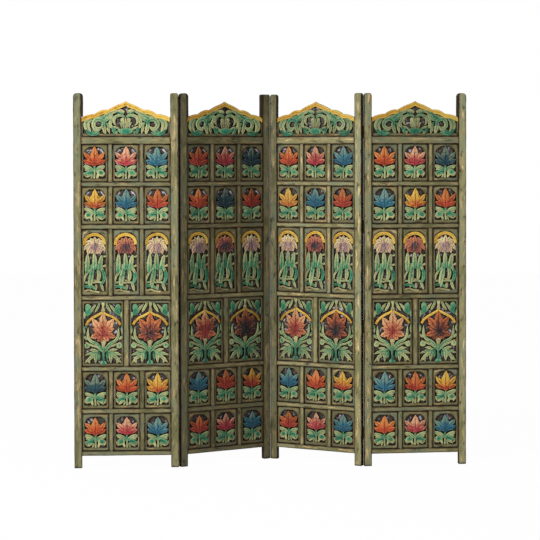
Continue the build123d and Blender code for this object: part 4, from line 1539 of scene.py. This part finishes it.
@dataclass
class Panel:
    """One panel of the screen, with its sizes in millimetres."""

    number: int
    place: Place
    width: float
    height: float
    shop: Workshop
    thickness: float = 22.0
    stile: float = 38.0
    foot: float = 60.0
    rail: float = 22.0
    top_rail: float = 36.0
    short_cell: float = 185.0
    tall_cell: float = 325.0
    muntin: float = 22.0
    wide_muntin: float = 26.0
    hinge_side_proud: float = 0.27
    head_rise: float = 7.0
    head_spread: float = 4.0
    board_front: float = 13.0
    board_thickness: float = 5.0
    fret_play: float = 1.0
    crest_end: float = 93.0
    crest_rise: float = 80.0
    crest_band: float = 23.0
    crest_border: float = 17.0
    crest_margin: float = 9.0
    crest_play: float = 0.5
    crest_side_gap: float = 2.0
    crest_board_drop: float = 1.0
    band_top: float = 8.6
    band_crown: float = 0.5
    outer_sway: float = 0.6
    inner_sway: float = 0.5
    foot_round: float = 3.0
    post_inset: float = 7.0
    tongue: float = 2.0
    plank_gap: float = 0.2
    plank_arris: float = 0.6
    plank_sway: float = 0.05
    plank_pitch: float = 24.0

    def __post_init__(self) -> None:
        """Work out the rows and the panel's own chance."""
        self.chance = random.Random(SEED * 100 + self.number)
        self.tone = PANEL_TONES_AND_SHADE[self.number - 1]
        self.body = f"panel_{self.number}"
        self.middle = self.width / 2
        self.inner = self.width - 2 * self.stile
        self.rows: list[Row] = []
        floor = self.foot + self.rail
        upper = CHALKY_FRET if self.number in CHALKY_PANELS else LOTUS_FRET
        lotus = ("lotus_frets", upper, self.short_cell, self.muntin, 3)
        low = ("lotus_frets", LOW_FRET, self.short_cell, self.muntin, 3)
        fifth = ("lotus_frets", LOTUS_FRET, self.short_cell, self.muntin, 3)
        blossom = ("blossom_frets", BLOSSOM_FRET, self.tall_cell, self.wide_muntin, 2)
        iris = ("iris_frets", IRIS_FRET, self.tall_cell, self.muntin, 3)
        for node, style, height, muntin, cells in (low, fifth, blossom, iris, lotus, lotus):
            self.rows.append(Row(node, style, floor, height, muntin, cells))
            floor += height + self.rail
        self.top_rail_floor = floor - self.rail
        self.crest_floor = self.top_rail_floor + self.top_rail

    def cell_width(self, row: Row) -> float:
        """The width of a row's cells."""
        return (self.inner - (row.cells - 1) * row.muntin) / row.cells

    def cell_centres(self, row: Row) -> list[float]:
        """The middles of a row's cells along the panel."""
        step = self.cell_width(row) + row.muntin
        return [self.middle + (i - (row.cells - 1) / 2) * step for i in range(row.cells)]

    def publish(
        self, shell: Shell, name: str, node: str, materials: list[bpy.types.Material], slot: str
    ) -> None:
        """Build a piece of this panel and let it stand for one of the panel's nodes."""
        piece = shell.build(f"{self.body}_{name}", self.place, materials)
        publish(piece, self.body, f"{self.body}_{node}")

    def bars(self, bars: list[Bar], name: str, tone: float) -> None:
        """Cut the bars of one node as one piece.

        Args:
            bars: the bars.
            name: the node's name in the panel.
            tone: how light their paint is.
        """
        shell = Shell(tone)
        for bar in bars:
            bar.add_to(shell, self.chance)
        self.publish(shell, f"planed_{name}", name, [self.shop.frame_paint], "frame_paint")

    def rail_at(self, floor: float, height: float) -> Bar:
        """A rail between the stiles, from its floor up."""
        z = floor + height / 2
        return Bar((self.stile, z), (self.width - self.stile, z), height, 0, self.thickness)

    def make_frame(self) -> None:
        """Cut the stiles, the rails and the muntins."""
        for index, side in enumerate(("left", "right")):
            post_number = 2 * (self.number - 1) + index
            outermost = post_number in (0, len(POST_TONES_AND_SHADE) - 1)
            x = self.width - self.stile / 2 if index else self.stile / 2
            # Pairs are given for a left stile, outer side first, and turned round for a right one.
            turn = -1 if index else 1
            sways = (self.outer_sway if outermost else 0.0, self.inner_sway)
            proud = (0.0 if outermost else self.hinge_side_proud, 0.0)
            steps = (0.0, HEAD_STEPS[post_number])
            post = Bar(
                (x, 0),
                (x, self.height),
                self.stile,
                0,
                self.thickness,
                rounds=(self.foot_round, TOP_RADII[post_number]),
                inset=self.post_inset,
                sways=sways[::turn],
                proud=proud[::turn],
                steps=steps[::turn],
                step_start=self.crest_floor + self.crest_end + self.head_rise - self.head_spread,
                wax_and_shade_sides=True,
            )
            self.bars([post], f"{side}_stile", POST_TONES_AND_SHADE[post_number])
        tone = RAIL_TONES_AND_SHADE[self.number - 1]
        cross_rails = [self.rail_at(row.floor - self.rail, self.rail) for row in self.rows[1:]]
        self.bars(cross_rails, "cross_rails", tone)
        self.bars([self.rail_at(self.foot, self.rail)], "bottom_rail", tone)
        self.bars([self.rail_at(self.top_rail_floor, self.top_rail)], "top_rail", tone)
        muntins = []
        for row in self.rows:
            centres = self.cell_centres(row)
            for left, right in zip(centres, centres[1:]):
                foot, head = (((left + right) / 2, z) for z in (row.floor, row.floor + row.height))
                muntins.append(Bar(foot, head, row.muntin, 0, self.thickness))
        self.bars(muntins, "muntins", tone)

    def crest_line(self, half: float, drop: float) -> Array:
        """The crest's outline from left to right.

        Args:
            half: half of its width.
            drop: how far it lies below the crest's own edge.

        Returns:
            The points, across from the middle and up from the top rail.
        """
        cusps = ((1.0, 0.0), (0.69, 0.225), (0.4, 0.475), (0.12, 0.84), (0.0, 1.0))
        bulges = (0.055, 0.1, 0.03, -0.012)
        across = np.linspace(-1, 1, CREST_POINTS)
        share = np.zeros(CREST_POINTS)
        for (far, low), (near, high), bulge in zip(cusps, cusps[1:], bulges):
            inside = (np.abs(across) <= far) & (np.abs(across) >= near)
            t = (far - np.abs(across[inside])) / (far - near)
            share[inside] = low + (high - low) * t + bulge * 4 * t * (1 - t)
        return np.stack([across * half, self.crest_end - drop + share * self.crest_rise], axis=1)

    def make_boards(self) -> None:
        """Cut the back boards, two or three planks to a cell, and the crest's board."""
        shell = Shell(self.tone)
        front, back = self.board_front, self.board_front + self.board_thickness
        for row in self.rows:
            planks = PLANKS[row.cells]
            plank = self.cell_width(row) / planks
            for centre in self.cell_centres(row):
                for i in range(planks):
                    x = centre + (i - (planks - 1) / 2) * plank
                    board = Bar(
                        (x, row.floor - self.tongue),
                        (x, row.floor + row.height + self.tongue),
                        plank - self.plank_gap,
                        front,
                        back,
                        arris=self.plank_arris,
                        sways=(self.plank_sway, self.plank_sway),
                        pitch=self.plank_pitch,
                        two_faced=True,
                    )
                    board.add_to(shell, self.chance)
        upper = self.crest_line(self.inner / 2 - self.crest_play, self.crest_board_drop)
        lower = np.stack([upper[:, 0], np.full(len(upper), -self.tongue)], axis=1)
        seat = Seat(self.middle, self.crest_floor, back)
        thick = np.full(len(upper), self.board_thickness)
        add_ribbon(shell, seat, (lower, upper), (thick, 0.0, 0.0), self.chance, 0)
        crest_paint = shell.values["paint"][-1]
        crest_paint[:, 1] = np.tile(CUT_LIFT == 0, len(upper))
        self.publish(shell, "stained_and_shaded_boards", "back_boards", [self.shop.boards], "board")

    def make_frets(self) -> None:
        """Carve every tile."""
        blooms = (BOTTOM_ROW, FIFTH_ROW, None, None, SECOND_ROW, TOP_ROW)
        for index, (row, colours) in enumerate(zip(self.rows, blooms)):
            size = (self.cell_width(row) - self.fret_play, row.height - self.fret_play)
            for cell, x in enumerate(self.cell_centres(row)):
                if row.cells == 2:
                    petal = heart = BLOSSOMS[cell]
                elif colours is None:
                    petal, heart = IRIS_HEARTS[cell]
                else:
                    petal = heart = colours[self.number][cell]
                materials, slots = self.shop.carving(petal, heart)
                shell = Shell(self.tone)
                seat = Seat(x, row.floor + row.height / 2, self.board_front)
                row.style.carve(shell, seat, size, slots, self.chance)
                name = f"row_{index + 1}_fret_{cell + 1}"
                self.publish(shell, name, row.node, materials, "carved_paint")

    def crest_edge(self, shell: Shell, seat: Seat, rims: tuple[Array, Array], slot: int) -> None:
        """Add one straight, flat edge of the crest."""
        top = np.full(len(rims[0]), BORDER_TOP)
        add_ribbon(shell, seat, rims, (top, 0.0, 0.0), self.chance, slot)

    def make_crest(self) -> None:
        """Carve the crest: its cusped band, its border and its scrolls."""
        materials, slots = self.shop.carving(Bloom.ORANGE, Bloom.ORANGE)
        shell = Shell(CREST_TONES_AND_SHADE[self.number - 1])
        seat = Seat(self.middle, self.crest_floor, self.board_front)
        half, rise = self.inner / 2 - self.crest_play, self.crest_end - self.crest_side_gap
        upper = self.crest_line(half, 0.0)
        lower = self.crest_line(half, self.crest_band)
        band = (np.full(len(upper), self.band_top), self.band_crown, 0.0)
        add_ribbon(shell, seat, (lower, upper), band, self.chance, slots[Paint.GOLD])
        base = tuple(straight((-half, z), (half, z), BASE_POINTS) for z in (0, self.crest_border))
        self.crest_edge(shell, seat, base, slots[Paint.BORDER])
        for side in (-1, 1):
            places = (side * half, side * (half - self.crest_margin))
            rims = tuple(straight((x, 0), (x, rise), SIDE_POINTS) for x in places)
            self.crest_edge(shell, seat, rims, slots[Paint.BORDER])
        for form in CREST:
            for side in (form, form.mirrored())[: 1 + form.twin]:
                side.carve(shell, seat, self.chance, slots[form.paint])
        self.publish(shell, "carved_crest", "crest", materials, "carved_paint")

    def make(self) -> None:
        """Make every piece of the panel."""
        self.make_frame()
        self.make_boards()
        self.make_frets()
        self.make_crest()


@dataclass(frozen=True)
class Hinges:
    """The three rows of butt hinges, which keep their CAD shapes."""

    shop: Workshop

    def dress(self) -> None:
        """Give the leaves, pins and screws their metal."""
        for name, node in frame["nodes"].items():
            if name.startswith("hinges_"):
                metal = self.shop.screw if name.endswith("screws") else self.shop.hinge
                node.data.materials.clear()
                node.data.materials.append(metal)
                LOG.info("%s: %s", name, metal.name)


@dataclass(frozen=True)
class Studio:
    """The floor, the light and the camera; floor_glow is how plainly white the floor is seen."""

    camera_place: tuple[float, float, float] = (0.1058, -9.4674, 1.5426)
    camera_turn: tuple[float, float, float] = (88.642, 0.1001, 0.6685)
    lens: float = 127.666
    lens_shift: float = -0.1346
    sensor: float = 36.0
    floor_size: float = 30.0
    key_power: float = 345.0
    key_place: tuple[float, float, float] = (-3.9, -4.7, 5.2)
    key_size: float = 1.6
    aim: tuple[float, float, float] = (0.0, 0.0, 0.9)
    ambient: float = 0.36
    floor_glow: float = 0.98

    def make(self) -> None:
        """Set everything up."""
        self.add_camera()
        self.add_floor()
        self.add_lamp()
        self.light_world()
        bpy.context.scene.view_settings.view_transform = "Standard"

    def add_camera(self) -> None:
        """Stand the camera where the screen is seen from."""
        data = bpy.data.cameras.new("camera")
        data.lens, data.sensor_width, data.shift_y = self.lens, self.sensor, self.lens_shift
        camera = bpy.data.objects.new("camera", data)
        camera.location = self.camera_place
        camera.rotation_euler = [math.radians(turn) for turn in self.camera_turn]
        bpy.context.scene.collection.objects.link(camera)
        bpy.context.scene.camera = camera

    def add_floor(self) -> None:
        """Lay a plain pale floor that keeps the shadow."""
        half = self.floor_size / 2
        mesh = bpy.data.meshes.new("floor")
        corners = [(-half, -half, 0), (half, -half, 0), (half, half, 0), (-half, half, 0)]
        mesh.from_pydata(corners, [], [(0, 1, 2, 3)])
        material = bpy.data.materials.new("matt_white_floor")
        material.use_nodes = True
        tree = material.node_tree
        tree.nodes.clear()
        ray = add_node(tree, "ShaderNodeLightPath").outputs["Is Camera Ray"]
        fill = {0: ray, 1: self.floor_glow}
        share = add_node(tree, "ShaderNodeMath", fill, operation="MULTIPLY").outputs[0]
        matt = add_node(tree, "ShaderNodeBsdfDiffuse", {"Color": "f2f2f0"}).outputs[0]
        glow = add_node(tree, "ShaderNodeEmission", {"Color": "ffffff", "Strength": 1.0}).outputs[0]
        mixed = add_node(tree, "ShaderNodeMixShader", {0: share, 1: matt, 2: glow}).outputs[0]
        add_node(tree, "ShaderNodeOutputMaterial", {0: mixed})
        mesh.materials.append(material)
        floor = bpy.data.objects.new("floor", mesh)
        bpy.context.scene.collection.objects.link(floor)
        floor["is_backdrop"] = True

    def add_lamp(self) -> None:
        """Hang one soft lamp high at the front left."""
        data = bpy.data.lights.new("softbox", "AREA")
        data.energy, data.size = self.key_power, self.key_size
        lamp = bpy.data.objects.new("softbox", data)
        lamp.location = self.key_place
        lamp.rotation_mode = "QUATERNION"
        lamp.rotation_quaternion = (Vector(self.aim) - lamp.location).to_track_quat("-Z", "Y")
        bpy.context.scene.collection.objects.link(lamp)

    def light_world(self) -> None:
        """Light from all round, and show plain white to the camera and through clear pieces."""
        world = bpy.data.worlds.new("studio")
        world.use_nodes = True
        tree = world.node_tree
        tree.nodes.clear()
        path = add_node(tree, "ShaderNodeLightPath")
        rays = {0: path.outputs["Is Camera Ray"], 1: path.outputs["Is Transmission Ray"]}
        seen = add_node(tree, "ShaderNodeMath", rays, operation="MAXIMUM").outputs[0]
        fill = {"Value": seen, "To Min": self.ambient, "To Max": 1.0}
        level = add_node(tree, "ShaderNodeMapRange", fill).outputs[0]
        sky = add_node(tree, "ShaderNodeBackground", {"Color": "ffffff", "Strength": level})
        add_node(tree, "ShaderNodeOutputWorld", {0: sky.outputs[0]})
        bpy.context.scene.world = world


# --- The whole screen ---


def mount_place(name: str) -> Vector:
    """Find where the record has one of its mounts.

    Args:
        name: the mount's name.

    Returns:
        Its place in metres; a mount that the record lacks stops the script.
    """
    for mount in frame["record"]["mounts"]:
        if mount["name"] == name:
            return Vector(mount["pos_m"])
    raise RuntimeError(f"the record has no mount named {name}")


def find_panels(shop: Workshop) -> list[Panel]:
    """Find each panel from the mounts under its feet.

    Args:
        shop: the finishes.

    Returns:
        The four panels, left to right.
    """
    height = (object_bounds()[1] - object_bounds()[0]).z / MM
    panels = []
    for number in PANELS:
        left, right = mount_place(f"foot_{number}_left"), mount_place(f"foot_{number}_right")
        heading = math.atan2(right.y - left.y, right.x - left.x)
        foot = np.array([[Panel.stile / 2, Panel.thickness / 2, 0.0]])
        offset = Place(Vector((0, 0, 0)), heading).world(foot)[0]
        place = Place(left - Vector(offset), heading)
        width = (right - left).length / MM + Panel.stile
        panels.append(Panel(number, place, width, height, shop))
    return panels


def main() -> None:
    """Make the screen and its surroundings, piece by piece."""
    logging.basicConfig(level=logging.INFO, format="%(message)s")
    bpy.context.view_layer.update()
    Studio().make()
    shop = Workshop()
    for panel in find_panels(shop):
        panel.make()
    Hinges(shop).dress()


if __name__ == "__main__":
    main()
